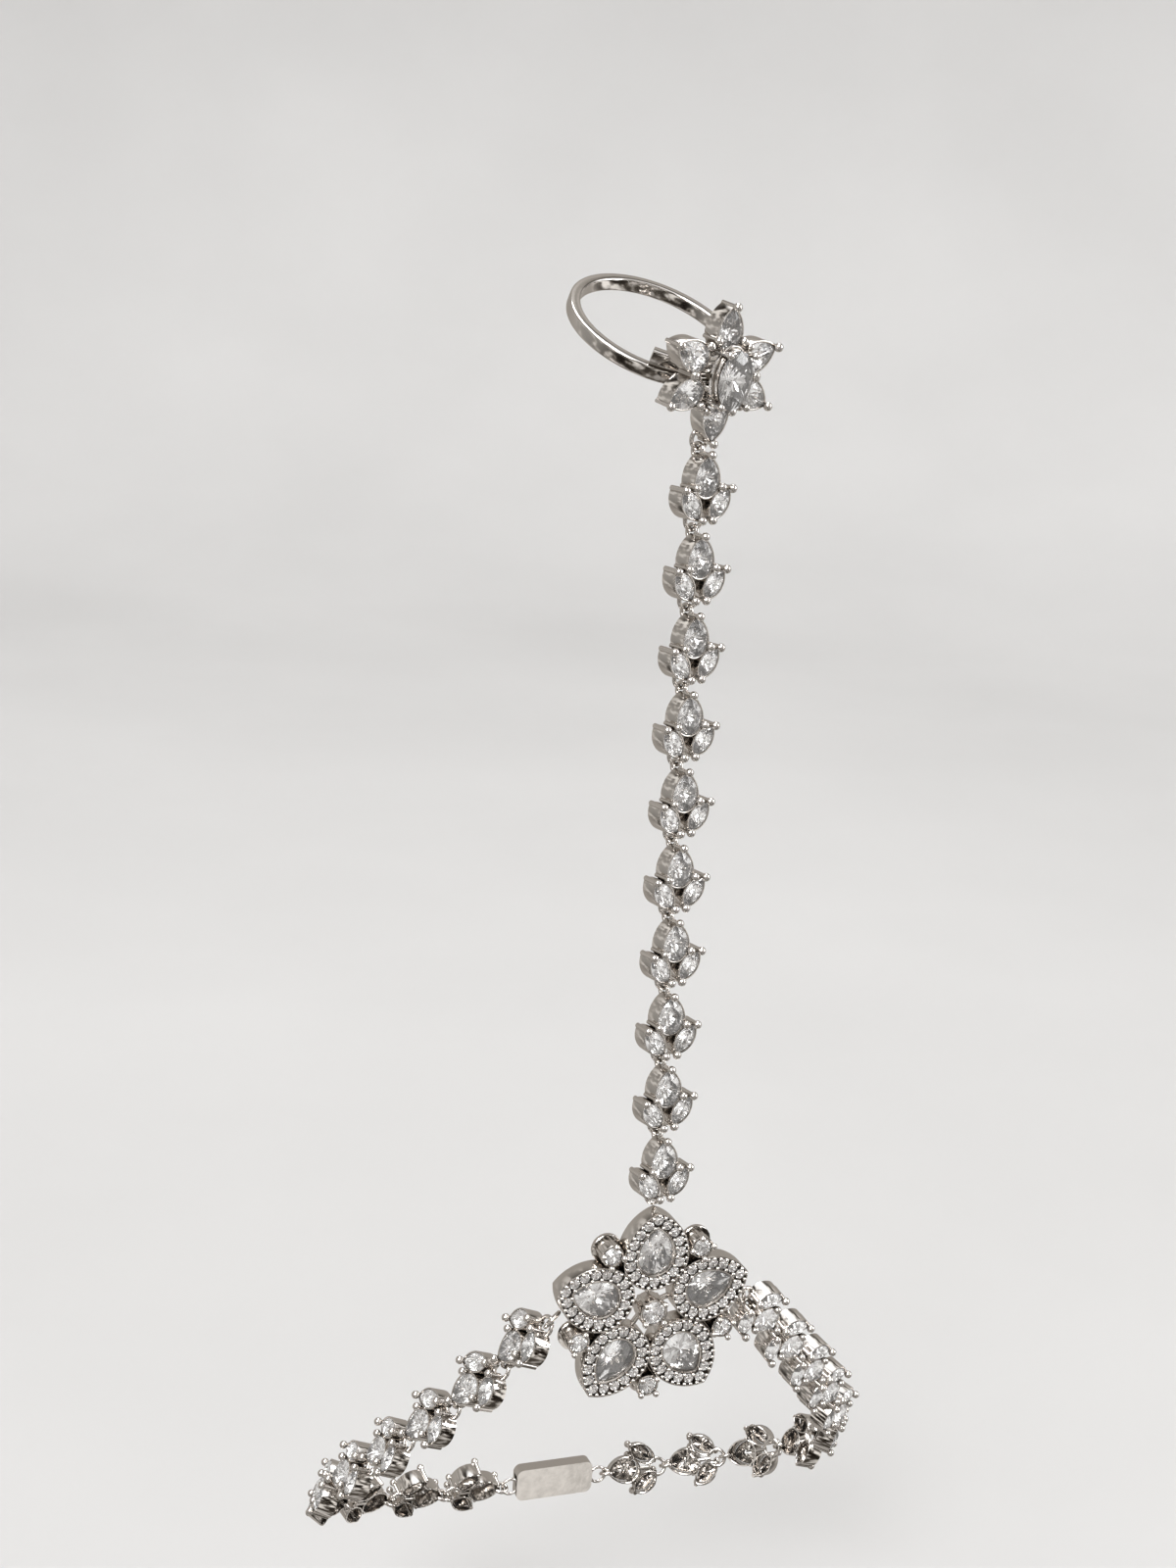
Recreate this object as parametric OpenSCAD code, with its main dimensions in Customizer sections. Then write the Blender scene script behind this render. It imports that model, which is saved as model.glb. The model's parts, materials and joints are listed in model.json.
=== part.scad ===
// Hand chain bracelet: a ring and a wrist loop of stone-set links, joined by a
// chain over the back of the hand to a five-petal medallion.
// Millimetres. +Z runs up the fingers, -Y is the side that shows on the back of
// the hand, and the origin is the centre of the wrist loop.

/* [Chain] */
// Distance from one joint of the chain to the next
link_pitch = 8.45; // [8.4:0.05:8.8]
// Thickness of the wire of eyes and loops
wire_d = 0.4; // [0.36:0.01:0.42]
// Flat eye soldered behind the root of a link, across its wire's centre line
eye_d = 2.2; // [2.1:0.01:2.3]
// Standing loop soldered behind the tip of a link, across its centre line
loop_d = 1.6; // [1.56:0.01:1.66]
// Jump ring between the medallion and a strand, across its centre line
jump_d = 2.2; // [2.1:0.05:2.4]
// How far the jump ring is turned out of the plane of the eyes that it joins
jump_turn = 55; // [50:1:70]
// Distance between the two eyes that a jump ring joins, at their wires
jump_span = 0.7; // [0.6:0.05:1]

/* [Link stones] */
// Width of the pear stone of a link
pear_w = 3; // [2.8:0.05:3.1]
// Length of the pear stone of a link
pear_l = 4; // [3.8:0.05:4.1]
// Width of the two marquise stones of a link
marquise_w = 1.9; // [1.7:0.05:2]
// Length of the two marquise stones of a link
marquise_l = 3.4; // [3.2:0.05:3.5]
// Angle between each marquise and the line of the chain
marquise_splay = 37; // [36:0.5:42]
// Distance between the two marquises at their root prongs
root_gap = 1.4; // [1.35:0.05:1.6]

/* [Settings] */
// Thickness of the wall of a cup
cup_wall = 0.2; // [0.15:0.01:0.22]
// Height of a link's cups
cup_h = 2.1; // [1.9:0.05:2.4]
// Free space between a stone and the metal round it
stone_gap = 0.1; // [0.1:0.01:0.12]
// Thickness of a prong
prong_d = 0.4; // [0.36:0.01:0.42]
// Ball on the end of a prong
ball_d = 0.84; // [0.76:0.02:0.86]
// Height of a stone's crown above its girdle
crown_h = 0.5; // [0.4:0.05:0.6]

/* [Medallion] */
// Distance from the medallion's centre to the round part of each petal
petal_r = 6.55; // [6.5:0.05:6.65]
// Width of the pear stone in each petal
petal_stone_w = 4; // [3.8:0.05:4.05]
// Length of the pear stone in each petal
petal_stone_l = 5.4; // [5.1:0.05:5.6]
// Thickness of the collar round a petal's pear stone
collar_wall = 0.3; // [0.25:0.01:0.35]
// Width of the groove that holds a petal's row of small stones
halo_w = 1.3; // [1.28:0.01:1.34]
// Thickness of a petal's outer rim
rim_wall = 0.25; // [0.22:0.01:0.3]
// Diameter of the small stones round a petal
halo_stone_d = 1.1; // [1:0.01:1.1]
// Number of small stones round a petal
halo_count = 16; // [14:1:16]
// Distance from the medallion's centre to the round stones between the petals
accent_r = 9.2; // [9.1:0.05:9.3]
// Diameter of the round stones between the petals
accent_d = 1.9; // [1.7:0.05:1.95]
// Diameter of the round stone in the medallion's centre
heart_d = 2.5; // [2.2:0.05:2.7]
// Width of the struts that carry the centre stone
strut_w = 0.5; // [0.4:0.05:0.7]

/* [Ring] */
// Inner diameter of the finger ring
ring_bore_d = 17; // [16:0.1:19]
// Width of the ring's band
band_w = 1.5; // [1.4:0.05:1.8]
// Thickness of the ring's band
band_t = 1.2; // [1:0.05:1.4]
// Free space between the two ends of the band where they pass each other
band_gap = 0.25; // [0.2:0.01:0.4]
// Angle that the free end of the band reaches past the middle of the head
band_end = 38; // [34:1:42]
// How far the soldered stretch of the band lies below the middle of the head
band_low = 1.9; // [1.6:0.1:2.2]
// Lean of the ring towards the little finger
ring_lean = 2; // [0:1:6]
// Tilt of the ring's head away from the hand
ring_tilt = 10; // [4:1:14]
// Turn of the ring's head towards the little finger
ring_turn = 16; // [12:1:22]
// Angle between the ring's head and its band
band_tip = 20; // [14:1:24]

/* [Ring head] */
// Width of the oval centre stone
oval_w = 4.2; // [4:0.05:4.4]
// Length of the oval centre stone
oval_l = 6.2; // [6:0.05:6.4]
// Height of the oval stone's girdle above the head's base
oval_h = 4; // [3.9:0.05:4.4]
// Width of the six pear stones round the oval
leaf_w = 2.8; // [2.6:0.05:2.9]
// Length of the six pear stones round the oval
leaf_l = 4; // [3.8:0.05:4.2]
// Distance from the head's centre to the round part of each pear
leaf_r = 4.1; // [4.05:0.05:4.2]
// Angle of the four side pears above or below the head's cross line
leaf_angle = 26; // [25.5:0.5:28]

/* [Hand chain] */
// Lean of the hand chain towards the thumb
hand_lean = 1; // [0:0.5:3]
// Lean of the hand chain away from the hand at the medallion
hand_rise_start = -2; // [-3:0.5:1]
// Lean of the hand chain away from the hand at the ring
hand_rise_end = 2; // [0:0.5:4]

/* [Wrist strands] */
// Upward roll of the left strand's first link, at the medallion
left_roll = 42; // [36:1:44]
// Upward roll of the left strand's last link, at the clasp
left_roll_end = 16; // [14:1:20]
// Downward roll of the right strand's first link, at the medallion
right_roll = 24; // [20:1:26]
// Downward roll of the right strand's last link, at the clasp
right_roll_end = 24; // [20:1:26]
// Width of the plain clasp
clasp_w = 4.6; // [4:0.1:6]
// Thickness of the plain clasp
clasp_t = 1.8; // [1.4:0.1:2.4]

/* [Hidden] */

hand_links = 10;
strand_links = 10;
metal = [0.82, 0.82, 0.84];
crystal = [0.9, 0.93, 0.96];

// Centre of the wrist loop, seen from the middle of the medallion
loop_centre = [4, 20, -23];
medallion_at = -loop_centre;

// Routes of the two wrist strands, seen from the middle of the medallion, from its
// side eyes round to the back of the wrist, for ten links of 8.45 mm
left_route = [
    [-11, 0, -0.4], [-14.5, 3.3, -7], [-18.8, 6.4, -13.2], [-22.9, 10.5, -19.4],
    [-25.9, 15.6, -25.3], [-28.6, 21, -31], [-29.6, 26.5, -36.6], [-27.2, 32, -41.4],
    [-21.5, 36.5, -44.7], [-13.5, 39, -46.8], [-5, 40, -47.6], [4, 40, -47.6]
];
right_route = [
    [11.4, 0, 0.5], [16.6, 3.1, -5.1], [21.9, 6.2, -10.9], [26.8, 9.9, -16.7],
    [31.3, 13.9, -22.6], [34.9, 18.4, -28.8], [36.6, 23.8, -35], [35, 29.8, -40.4],
    [30, 35, -44.2], [22.5, 38.4, -46.6], [14, 40, -47.6], [5, 40, -47.6]
];
// Link and petal tip that the routes were chosen for
route_pitch = 8.45;
route_petal_tip = 12.08;
route_scale = link_pitch / route_pitch;

// Turn of each link of the hand chain towards the little finger
hand_turns = [10, 12, 9, 13, 12, 15, 13, 17, 15, 18];

wire_r = wire_d / 2;
eye_r = eye_d / 2;
loop_r = loop_d / 2;
jump_r = jump_d / 2;
back = -wire_r - 0.05;
girdle_z = back + cup_h;
ball_r = ball_d / 2;
prong_r = prong_d / 2;
ball_rise = 0.45;
ball_z = girdle_z + ball_rise;
girdle_t = 0.06;
// Angle of a pear's side prongs below its cross line
side_prong_angle = 17;
// Share of a pear's length from its round part's centre to its point
culet_share = 0.1;
joint_play = 0.15;

table_share = 0.56;

// From a stone's point to the middle of the prong that holds it
prong_reach = prong_r + stone_gap + 0.015;
// From the tip prong of a link to the joint beyond it
tip_lead = 0.4;
// From a joint back to the centre of the standing loop that reaches it
loop_lead = loop_r - wire_d - joint_play;
// From a side eye's far wire to the middle of the jump ring
jump_lead = jump_r - wire_d - joint_play;
tip_y = link_pitch - tip_lead;
root_y = eye_r + wire_r;

// Geometry helpers
function unit(v) = v / norm(v);
function square_to(v, axis) = unit(v - (v * axis) * axis);
function pose(at, y, n) =
    let (z = square_to(n, y), x = cross(y, z))
    [[x[0], y[0], z[0], at[0]], [x[1], y[1], z[1], at[1]], [x[2], y[2], z[2], at[2]], [0, 0, 0, 1]];
function polar(r, a) = [r * cos(a), r * sin(a)];

// Outline of a pear of half width r and tip height h round the origin, grown by d
function pear_side(r, h) = (r * r + h * h) / (2 * r);
function pear_tip(r, h, d) =
    let (side = pear_side(r, h)) sqrt(pow(side + d, 2) - pow(side - r, 2));
function pear_outline(r, h, d, bottom_steps, side_steps) =
    let (side = pear_side(r, h), tip = pear_tip(r, h, d), sweep = asin(tip / (side + d)))
    concat(
        [for (i = [0:bottom_steps]) polar(r + d, 180 + 180 * i / bottom_steps)],
        [for (i = [1:side_steps]) [r - side, 0] + polar(side + d, sweep * i / side_steps)],
        [for (i = [side_steps - 1:-1:1]) [side - r, 0] + polar(side + d, 180 - sweep * i / side_steps)]
    );

// Outline of a marquise of width w and length l round the origin, grown by d
function marquise_side(w, l) = (l * l + w * w) / (4 * w);
function marquise_outline(w, l, d, steps) =
    let (side = marquise_side(w, l), shift = side - w / 2, half = acos(shift / (side + d)))
    concat(
        [for (i = [0:steps - 1]) [-shift, 0] + polar(side + d, -half + 2 * half * i / steps)],
        [for (i = [0:steps - 1]) [shift, 0] + polar(side + d, 180 - half + 2 * half * i / steps)]
    );

function oval_outline(w, l, d, steps) =
    [for (i = [0:steps - 1]) let (a = 360 * i / steps) [(w / 2 + d) * cos(a), (l / 2 + d) * sin(a)]];

// A cut stone on an outline: table, crown, thin girdle and pavilion down to a point
module gem(outline, centre, table_share, crown, pavilion, girdle = girdle_t) {
    n = len(outline);
    levels = girdle > 0
        ? [[table_share, crown], [1, girdle / 2], [1, -girdle / 2]]
        : [[table_share, crown], [1, 0]];
    rings = [for (level = levels) for (p = outline) [
        centre[0] + (p[0] - centre[0]) * level[0], centre[1] + (p[1] - centre[1]) * level[0], level[1]]];
    culet = len(rings);
    polyhedron(concat(rings, [[centre[0], centre[1], -pavilion]]), concat(
        [for (i = [1:n - 2]) [0, i + 1, i]],
        [for (k = [0:len(levels) - 2]) for (i = [0:n - 1]) for (f = [
            [(k + 1) * n + i, k * n + i, k * n + (i + 1) % n],
            [(k + 1) * n + i, k * n + (i + 1) % n, (k + 1) * n + (i + 1) % n]]) f],
        [for (i = [0:n - 1]) [culet, culet - n + i, culet - n + (i + 1) % n]]));
}

module cup(inner, outer, z0, z1) {
    translate([0, 0, z0]) linear_extrude(z1 - z0) difference() {
        polygon(outer);
        polygon(inner);
    }
}

module wire_ring(r, wire = wire_r) {
    rotate_extrude($fn = 48) translate([r, 0]) circle(wire, $fn = 24);
}

// A prong: a post with a ball on its end
module prong(at, z0, z1, post = prong_r, ball = ball_r) {
    translate([at[0], at[1], z0]) cylinder(r = post, h = z1 - z0, $fn = 24);
    translate([at[0], at[1], z1]) sphere(r = ball, $fn = 32);
}

// The standing loop at a joint, in the plane that holds the chain and its normal
module standing_loop(joint_y) {
    translate([0, joint_y - loop_lead, 0]) rotate([0, 90, 0]) wire_ring(loop_r);
}

// Pear cup with its three prongs: round part at the origin, tip along +y
module pear_cup(w, l, z0, z1, tip_from) {
    r = w / 2;
    h = l - r;
    cup(pear_outline(r, h, stone_gap, 10, 5), pear_outline(r, h, stone_gap + cup_wall, 10, 5), z0, z1);
    prong([0, h + prong_reach], tip_from, z1 + ball_rise);
    for (a = [-side_prong_angle, 180 + side_prong_angle])
        prong(polar(r + prong_reach, a), z0, z1 + ball_rise);
}

module pear_stone(w, l, z) {
    r = w / 2;
    translate([0, 0, z])
        gem(pear_outline(r, l - r, 0, 6, 3), [0, culet_share * l], table_share, crown_h, 0.4 * w);
}

// One link, from its own joint at the origin to the next joint along +y
pear_at = [0, tip_y - prong_reach - (pear_l - pear_w / 2)];
marquise_reach = marquise_l / 2 + prong_reach;
bar_w = 1.3 * wire_d;
bar_from = eye_d - wire_r;

module at_marquise(side) {
    translate([side * root_gap / 2, root_y, 0]) rotate([0, 0, -side * marquise_splay])
        translate([0, marquise_reach, 0]) children();
}

module link_setting() {
    inner = marquise_outline(marquise_w, marquise_l, stone_gap, 6);
    outer = marquise_outline(marquise_w, marquise_l, stone_gap + cup_wall, 6);
    union() {
        translate([0, eye_r, 0]) wire_ring(eye_r);
        standing_loop(link_pitch);
        translate(pear_at) pear_cup(pear_w, pear_l, back, girdle_z, wire_d);
        for (side = [-1, 1]) at_marquise(side) {
            cup(inner, outer, back, girdle_z);
            for (end = [-1, 1]) prong([0, end * marquise_reach], wire_d, ball_z);
        }
        translate([-bar_w / 2, bar_from, back]) cube([bar_w, pear_at[1] - pear_w / 2 - bar_from, bar_w]);
    }
}

module link_stones() {
    translate(pear_at) pear_stone(pear_w, pear_l, girdle_z);
    for (side = [-1, 1]) at_marquise(side) translate([0, 0, girdle_z])
        gem(marquise_outline(marquise_w, marquise_l, 0, 4), [0, 0], 0.5, crown_h * 0.9, 0.5 * marquise_w);
}

// Medallion, round its own centre, tips outwards and +z towards the viewer
petal_stone_r = petal_stone_w / 2;
petal_stone_h = petal_stone_l - petal_stone_r;
collar_out = stone_gap + collar_wall;
groove_out = collar_out + halo_w;
rim_out = groove_out + rim_wall;
halo_line = (collar_out + groove_out) / 2;
petal_tip = petal_r + pear_tip(petal_stone_r, petal_stone_h, rim_out);
floor_z = girdle_z - 1.3;
floor_t = 0.6;
collar_lip = 0.1;
petal_stone_z = girdle_z - 0.25;
petals = 5;
accent_z = girdle_z + 0.35;
accent_wall = 0.25;
accent_wire_r = 0.16;
accent_ball_r = 0.28;
accent_from = 0.2;
accent_foot_r = accent_d / 2 + 0.8;
accent_foot_t = 0.6;
heart_z = girdle_z + 0.6;
heart_wall = 0.3;
heart_wire_r = 0.2;
heart_ball_r = 0.36;
heart_from = 0.1;
strut_t = 0.7;
// Radius at which two neighbouring petals meet
petal_meet_r = petal_r * cos(180 / petals);

function petal_line(d, bottom = 20, sides = 8) =
    pear_outline(petal_stone_r, petal_stone_h, d, bottom, sides);

module at_petal(i) {
    rotate([0, 0, 360 * i / petals]) translate([0, petal_r, 0]) children();
}

// A wall on the outlines of all the petals, between two distances from their stones
module petal_wall(inner, outer, z0, z1) {
    translate([0, 0, z0]) linear_extrude(z1 - z0) for (i = [0:petals - 1]) at_petal(i) difference() {
        polygon(petal_line(outer));
        polygon(petal_line(inner));
    }
}

// Round cup with four prongs, each set off the cup's inner face
post_off = 0.03;
module round_cup(d, wall, z0, z1, post, ball) {
    r = d / 2 + stone_gap;
    translate([0, 0, z0]) difference() {
        cylinder(r = r + wall, h = z1 - z0, $fn = 40);
        translate([0, 0, -1]) cylinder(r = r, h = z1 - z0 + 2, $fn = 40);
    }
    for (i = [0:3]) prong(polar(r + post + post_off, 45 + 90 * i), z0, z1 + ball * 1.2, post, ball);
}

module at_accent(i) {
    rotate([0, 0, 360 * (i + 0.5) / petals]) translate([0, accent_r, 0]) children();
}

// Radial strut from one distance from the medallion's centre to another
module strut(from, to) {
    translate([-strut_w / 2, from, back]) cube([strut_w, to - from, strut_t]);
}

module medallion_metal() {
    heart_out = heart_d / 2 + stone_gap + heart_wall / 2;
    accent_in = accent_d / 2 + stone_gap + accent_wall / 2;
    union() {
        petal_wall(stone_gap, collar_out, back, petal_stone_z + collar_lip);
        petal_wall(groove_out, rim_out, back, girdle_z);
        petal_wall(collar_out - collar_wall / 2, groove_out + rim_wall / 2,
            floor_z - floor_t / 2, floor_z + floor_t / 2);
        for (i = [0:petals - 1]) {
            at_accent(i) {
                round_cup(accent_d, accent_wall, accent_from, accent_z, accent_wire_r, accent_ball_r);
                translate([0, 0, back]) cylinder(r = accent_foot_r, h = accent_foot_t, $fn = 40);
            }
            rotate([0, 0, 360 * (i + 0.5) / petals])
                strut(petal_meet_r - rim_wall, accent_r - accent_in);
            rotate([0, 0, 360 * i / petals]) strut(heart_out, petal_r - petal_stone_r - rim_out + rim_wall);
        }
        round_cup(heart_d, heart_wall, heart_from, heart_z, heart_wire_r, heart_ball_r);
        standing_loop(petal_tip + tip_lead);
        for (side = [-1, 1]) translate(side_eye_at(side)) wire_ring(eye_r);
    }
}

// Points spaced evenly along the closed middle line of a petal's groove
function line_lengths(pts, i = 0, sum = 0) =
    i == len(pts) ? [sum] :
    let (step = norm(pts[(i + 1) % len(pts)] - pts[i]))
    concat([sum], line_lengths(pts, i + 1, sum + step));
function spaced(pts, count, start) =
    let (cum = line_lengths(pts), total = cum[len(pts)])
    [for (k = [0:count - 1])
        let (
            s = (start + total * k / count) % total,
            i = max([for (j = [0:len(pts) - 1]) if (cum[j] <= s) j]),
            u = (s - cum[i]) / (cum[i + 1] - cum[i])
        ) pts[i] * (1 - u) + pts[(i + 1) % len(pts)] * u];

halo_round_steps = 36;
halo_side_steps = 16;
halo_path = petal_line(halo_line, halo_round_steps, halo_side_steps);
halo_tip_index = halo_round_steps + halo_side_steps;
halo_points = spaced(halo_path, halo_count, line_lengths(halo_path)[halo_tip_index]);

module round_stone(d, z, sides, crown, pavilion, girdle = girdle_t) {
    translate([0, 0, z]) gem([for (i = [0:sides - 1]) polar(d / 2, 360 * (i + 0.5) / sides)],
        [0, 0], 0.58, crown, pavilion, girdle);
}

// The strands leave the far wires of the medallion's side eyes along their routes
eye_shift = petal_tip - route_petal_tip;
function route(side) =
    let (r = side < 0 ? left_route : right_route)
    [for (p = r) medallion_at + r[0] + [side * eye_shift, 0, 0] + (p - r[0]) * route_scale];
function side_start(side) = route(side)[0];

function bend(p0, p1, p2, p3, u) =
    ((2 * p1) + (p2 - p0) * u + (2 * p0 - 5 * p1 + 4 * p2 - p3) * u * u
        + (3 * p1 - p0 - 3 * p2 + p3) * u * u * u) / 2;
function on_route(r, t) =
    let (i = max(0, min(floor(t), len(r) - 2)))
    bend(r[max(i - 1, 0)], r[i], r[i + 1], r[min(i + 2, len(r) - 1)], t - i);
function reach(r, from, dist, low, high, tries = 22) =
    tries == 0 ? (low + high) / 2 :
    let (mid = (low + high) / 2)
    norm(on_route(r, mid) - from) < dist
        ? reach(r, from, dist, mid, high, tries - 1)
        : reach(r, from, dist, low, mid, tries - 1);
function walk(r, t, count) =
    count == 0 ? [t] :
    concat([t], walk(r, reach(r, on_route(r, t), link_pitch, t, t + 1.8), count - 1));
function strand_joints(side) =
    let (r = route(side), t0 = reach(r, r[0], jump_span, 0, 1))
    [for (t = walk(r, t0, strand_links)) on_route(r, t)];

left_joints = strand_joints(-1);
right_joints = strand_joints(1);
function joints_of(side) = side < 0 ? left_joints : right_joints;
function strand_pose(side, i) =
    let (
        j = joints_of(side), y = unit(j[i + 1] - j[i]), out = side * unit([y[1], -y[0], 0]),
        from = side < 0 ? left_roll : -right_roll, to = side < 0 ? left_roll_end : -right_roll_end,
        roll = from + (to - from) * i / (strand_links - 1)
    ) pose(j[i], y, out * cos(roll) + square_to([0, 0, 1], y) * sin(roll));

function start_way(side) = unit(joints_of(side)[0] - side_start(side));
// Side eye in the medallion's own plane, where x is right and y is up
function side_eye_at(side) =
    let (w = start_way(side), flat = unit([w[0], w[2]]), p = side_start(side) - medallion_at)
    [p[0] - eye_r * flat[0], p[2] - eye_r * flat[1], 0];

module on_medallion() {
    multmatrix(pose(medallion_at, [0, 0, 1], [0, -1, 0])) children();
}

module strand_jump_ring(side) {
    way = start_way(side);
    flat = square_to([0, -1, 0], way);
    across = cross(flat, way);
    up = across * side * sign(across[2]);
    color(metal) multmatrix(pose(side_start(side) + way * jump_lead, way,
        flat * cos(jump_turn) + up * sin(jump_turn))) wire_ring(jump_r);
}

// Hand chain, from the medallion's top loop up to the ring
function hand_way(i) =
    let (rise = hand_rise_start + (hand_rise_end - hand_rise_start) * i / (hand_links - 1))
    unit([-tan(hand_lean), -tan(rise), 1]);
function hand_joint(i) =
    i == 0 ? medallion_at + [0, 0, petal_tip + tip_lead] : hand_joint(i - 1) + link_pitch * hand_way(i - 1);
function hand_pose(i) = pose(hand_joint(i), hand_way(i), [sin(hand_turns[i]), -cos(hand_turns[i]), 0]);

// Ring head, round the middle of its base: +y along the finger, +z away from it
leaf_h = leaf_l - leaf_w / 2;
leaf_prong_out = leaf_r + leaf_h + prong_reach + prong_r;
head_eye_y = -leaf_prong_out - joint_play - (loop_r + wire_r - loop_lead) + eye_r;
leaf_angles = [90, leaf_angle, -leaf_angle, -90, 180 + leaf_angle, 180 - leaf_angle];
head_way = unit([tan(ring_lean), -tan(ring_tilt), 1]);
head_normal = square_to([sin(ring_turn), -cos(ring_turn), 0], head_way);
head_at = hand_joint(hand_links) - head_way * (head_eye_y - eye_r);
// Free space between the loose end of the band and the head's base
head_gap = 0.15;
ring_r = ring_bore_d / 2;
band_out = ring_r + band_t;
band_step = band_w + band_gap;
band_high = band_step + band_w / 2 - band_low;
bore_z = -band_out - head_gap / cos(band_tip) - band_high * tan(band_tip);
band_top = bore_z + band_out;
claw_angle = (90 + leaf_angle) / 2;
claw_wire_r = 0.3;
claw_off = claw_wire_r + 1.5 * stone_gap;
claw_r = 1 / norm([2 * cos(claw_angle) / oval_w, 2 * sin(claw_angle) / oval_l]) + claw_off;
basket_z = oval_h - 1.3;
basket_top = oval_h - 0.4;
// Outer faces of the basket and its rail, measured outwards from the oval stone's outline
basket_set = -0.05;
rail_set = 0.25;
basket_wall = 0.25;
rail_wall = 0.45;
rail_t = 0.4;
// Round plate that the six pears' cups stand on
base_t = 0.6;
base_hole_r = 1.6;
base_r = leaf_r - leaf_w / 2 + 0.5;
jog_from = 52;
jog_to = 84;
// Spare stretch of the band's free end that its rounding takes off
end_spare = 8;
saddle_l = 4.8;
saddle_w = band_w - 0.2;
saddle_rise = 0.3;

module on_ring() {
    multmatrix(pose(head_at, head_way, head_normal)) children();
}

// Stands the band's parts on the plane that the head's base makes with the band
module on_band() {
    translate([0, 0, back]) rotate([band_tip, 0, 0]) children();
}

module at_leaf(i) {
    rotate([0, 0, leaf_angles[i] - 90]) translate([0, leaf_r, 0]) children();
}

// Part of the band round the finger, from one angle to another, at a place along the finger
module band_arc(from, to, y, width = band_w, thinner = 0) {
    translate([0, y - band_low, bore_z]) rotate([-90, 0, 0]) rotate([0, 0, from - 90])
        rotate_extrude(angle = to - from, $fn = 120) translate([ring_r - 0.2 + thinner, -width / 2])
            square([band_t + 0.2 - 2 * thinner, width]);
}

// Slanting stretch between the two planes of the band
module band_jog() {
    half = (jog_to - jog_from) / 2;
    bend = 0.94 * ring_r * sin(half);
    side = band_w / 2 - 0.02;
    intersection() {
        band_arc(jog_from - 1, jog_to + 1, band_step / 2, 2 * band_step + band_w, 0.02);
        translate([0, -band_low, bore_z]) rotate([0, jog_from + half, 0]) linear_extrude(2 * band_out)
            polygon([[-2 * bend, band_step - side], [-bend, band_step - side], [bend, -side],
                [2 * bend, -side], [2 * bend, side], [bend, side], [-bend, band_step + side],
                [-2 * bend, band_step + side]]);
    }
}

// Takes the corners off the free end of the band
module end_rounding() {
    translate([0, band_step - band_low, bore_z]) rotate([0, -band_end, 0])
        linear_extrude(2 * band_out) difference() {
            translate([-1.5 * band_w, -band_w]) square([1.5 * band_w, 2 * band_w]);
            circle(0.55 * band_w, $fn = 48);
        }
}

// Block that joins the band to the head's base
module saddle() {
    low = -band_low - saddle_w / 2;
    high = -band_low + saddle_w / 2;
    translate([-saddle_l / 2, 0, 0]) rotate([90, 0, 90]) linear_extrude(saddle_l) polygon([
        [low, band_top - band_t / 2], [high, band_top - band_t / 2],
        [high, saddle_rise - high * tan(band_tip)], [low, saddle_rise - low * tan(band_tip)]]);
}

module finger_bore() {
    translate([0, 0, bore_z]) rotate([90, 0, 0])
        cylinder(r = ring_r, h = 4 * (band_step + band_w), center = true, $fn = 160);
}

module ring_metal() {
    basket_in = oval_outline(oval_w, oval_l, basket_set - basket_wall, 28);
    basket_out = oval_outline(oval_w, oval_l, basket_set, 28);
    rail_in = oval_outline(oval_w, oval_l, rail_set - rail_wall, 28);
    rail_out = oval_outline(oval_w, oval_l, rail_set, 28);
    on_band() difference() {
        union() {
            band_arc(jog_to, 360, 0);
            difference() {
                band_arc(-band_end - end_spare, jog_from, band_step);
                end_rounding();
            }
            band_jog();
            saddle();
        }
        finger_bore();
    }
    translate([0, 0, back]) difference() {
        cylinder(r = base_r, h = base_t, $fn = 48);
        translate([0, 0, -base_t]) cylinder(r = base_hole_r, h = 3 * base_t, $fn = 48);
    }
    for (i = [0:5]) at_leaf(i) pear_cup(leaf_w, leaf_l, back, girdle_z, back);
    for (sx = [-1, 1]) for (sy = [-1, 1])
        prong([sx * claw_r * cos(claw_angle), sy * claw_r * sin(claw_angle)],
            back, oval_h + ball_rise, claw_wire_r, ball_r);
    cup(basket_in, basket_out, basket_z, basket_top);
    cup(rail_in, rail_out, basket_z - 0.05, basket_z - 0.05 + rail_t);
    translate([0, head_eye_y, 0]) wire_ring(eye_r);
}

// Plain clasp between the two ends of the strands
clasp_from = left_joints[strand_links];
clasp_to = right_joints[strand_links];
clasp_span = norm(clasp_to - clasp_from);

module clasp_metal() {
    corner = 1;
    body_l = clasp_span - 2 * eye_d + wire_d;
    translate([0, eye_r, 0]) wire_ring(eye_r);
    translate([0, clasp_span - eye_r, 0]) wire_ring(eye_r);
    translate([0, clasp_span / 2, back]) linear_extrude(clasp_t) union() {
        square([clasp_w - 2 * corner, body_l], center = true);
        square([clasp_w, body_l - 2 * corner], center = true);
        for (x = [-1, 1]) for (y = [-1, 1])
            translate([x * (clasp_w / 2 - corner), y * (body_l / 2 - corner)]) circle(corner, $fn = 32);
    }
}

// Nodes
module ring_band() { color(metal) on_ring() ring_metal(); }
module ring_oval_stone() {
    color(crystal) on_ring() translate([0, 0, oval_h])
        gem(oval_outline(oval_w, oval_l, 0, 16), [0, 0], 0.6, 1.3 * crown_h, 1.7);
}
module ring_pear(i) { color(crystal) on_ring() at_leaf(i - 1) pear_stone(leaf_w, leaf_l, girdle_z); }
module medallion_setting() { color(metal) on_medallion() medallion_metal(); }
module medallion_centre_stone() {
    color(crystal) on_medallion() round_stone(heart_d, heart_z, 10, 0.9 * crown_h, 1.1);
}
module medallion_pear(i) {
    color(crystal) on_medallion() at_petal(i - 1) translate([0, 0, petal_stone_z])
        gem(petal_line(0, 8, 3), [0, culet_share * petal_stone_l], table_share,
            1.1 * crown_h, 0.4 * petal_stone_w);
}
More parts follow.
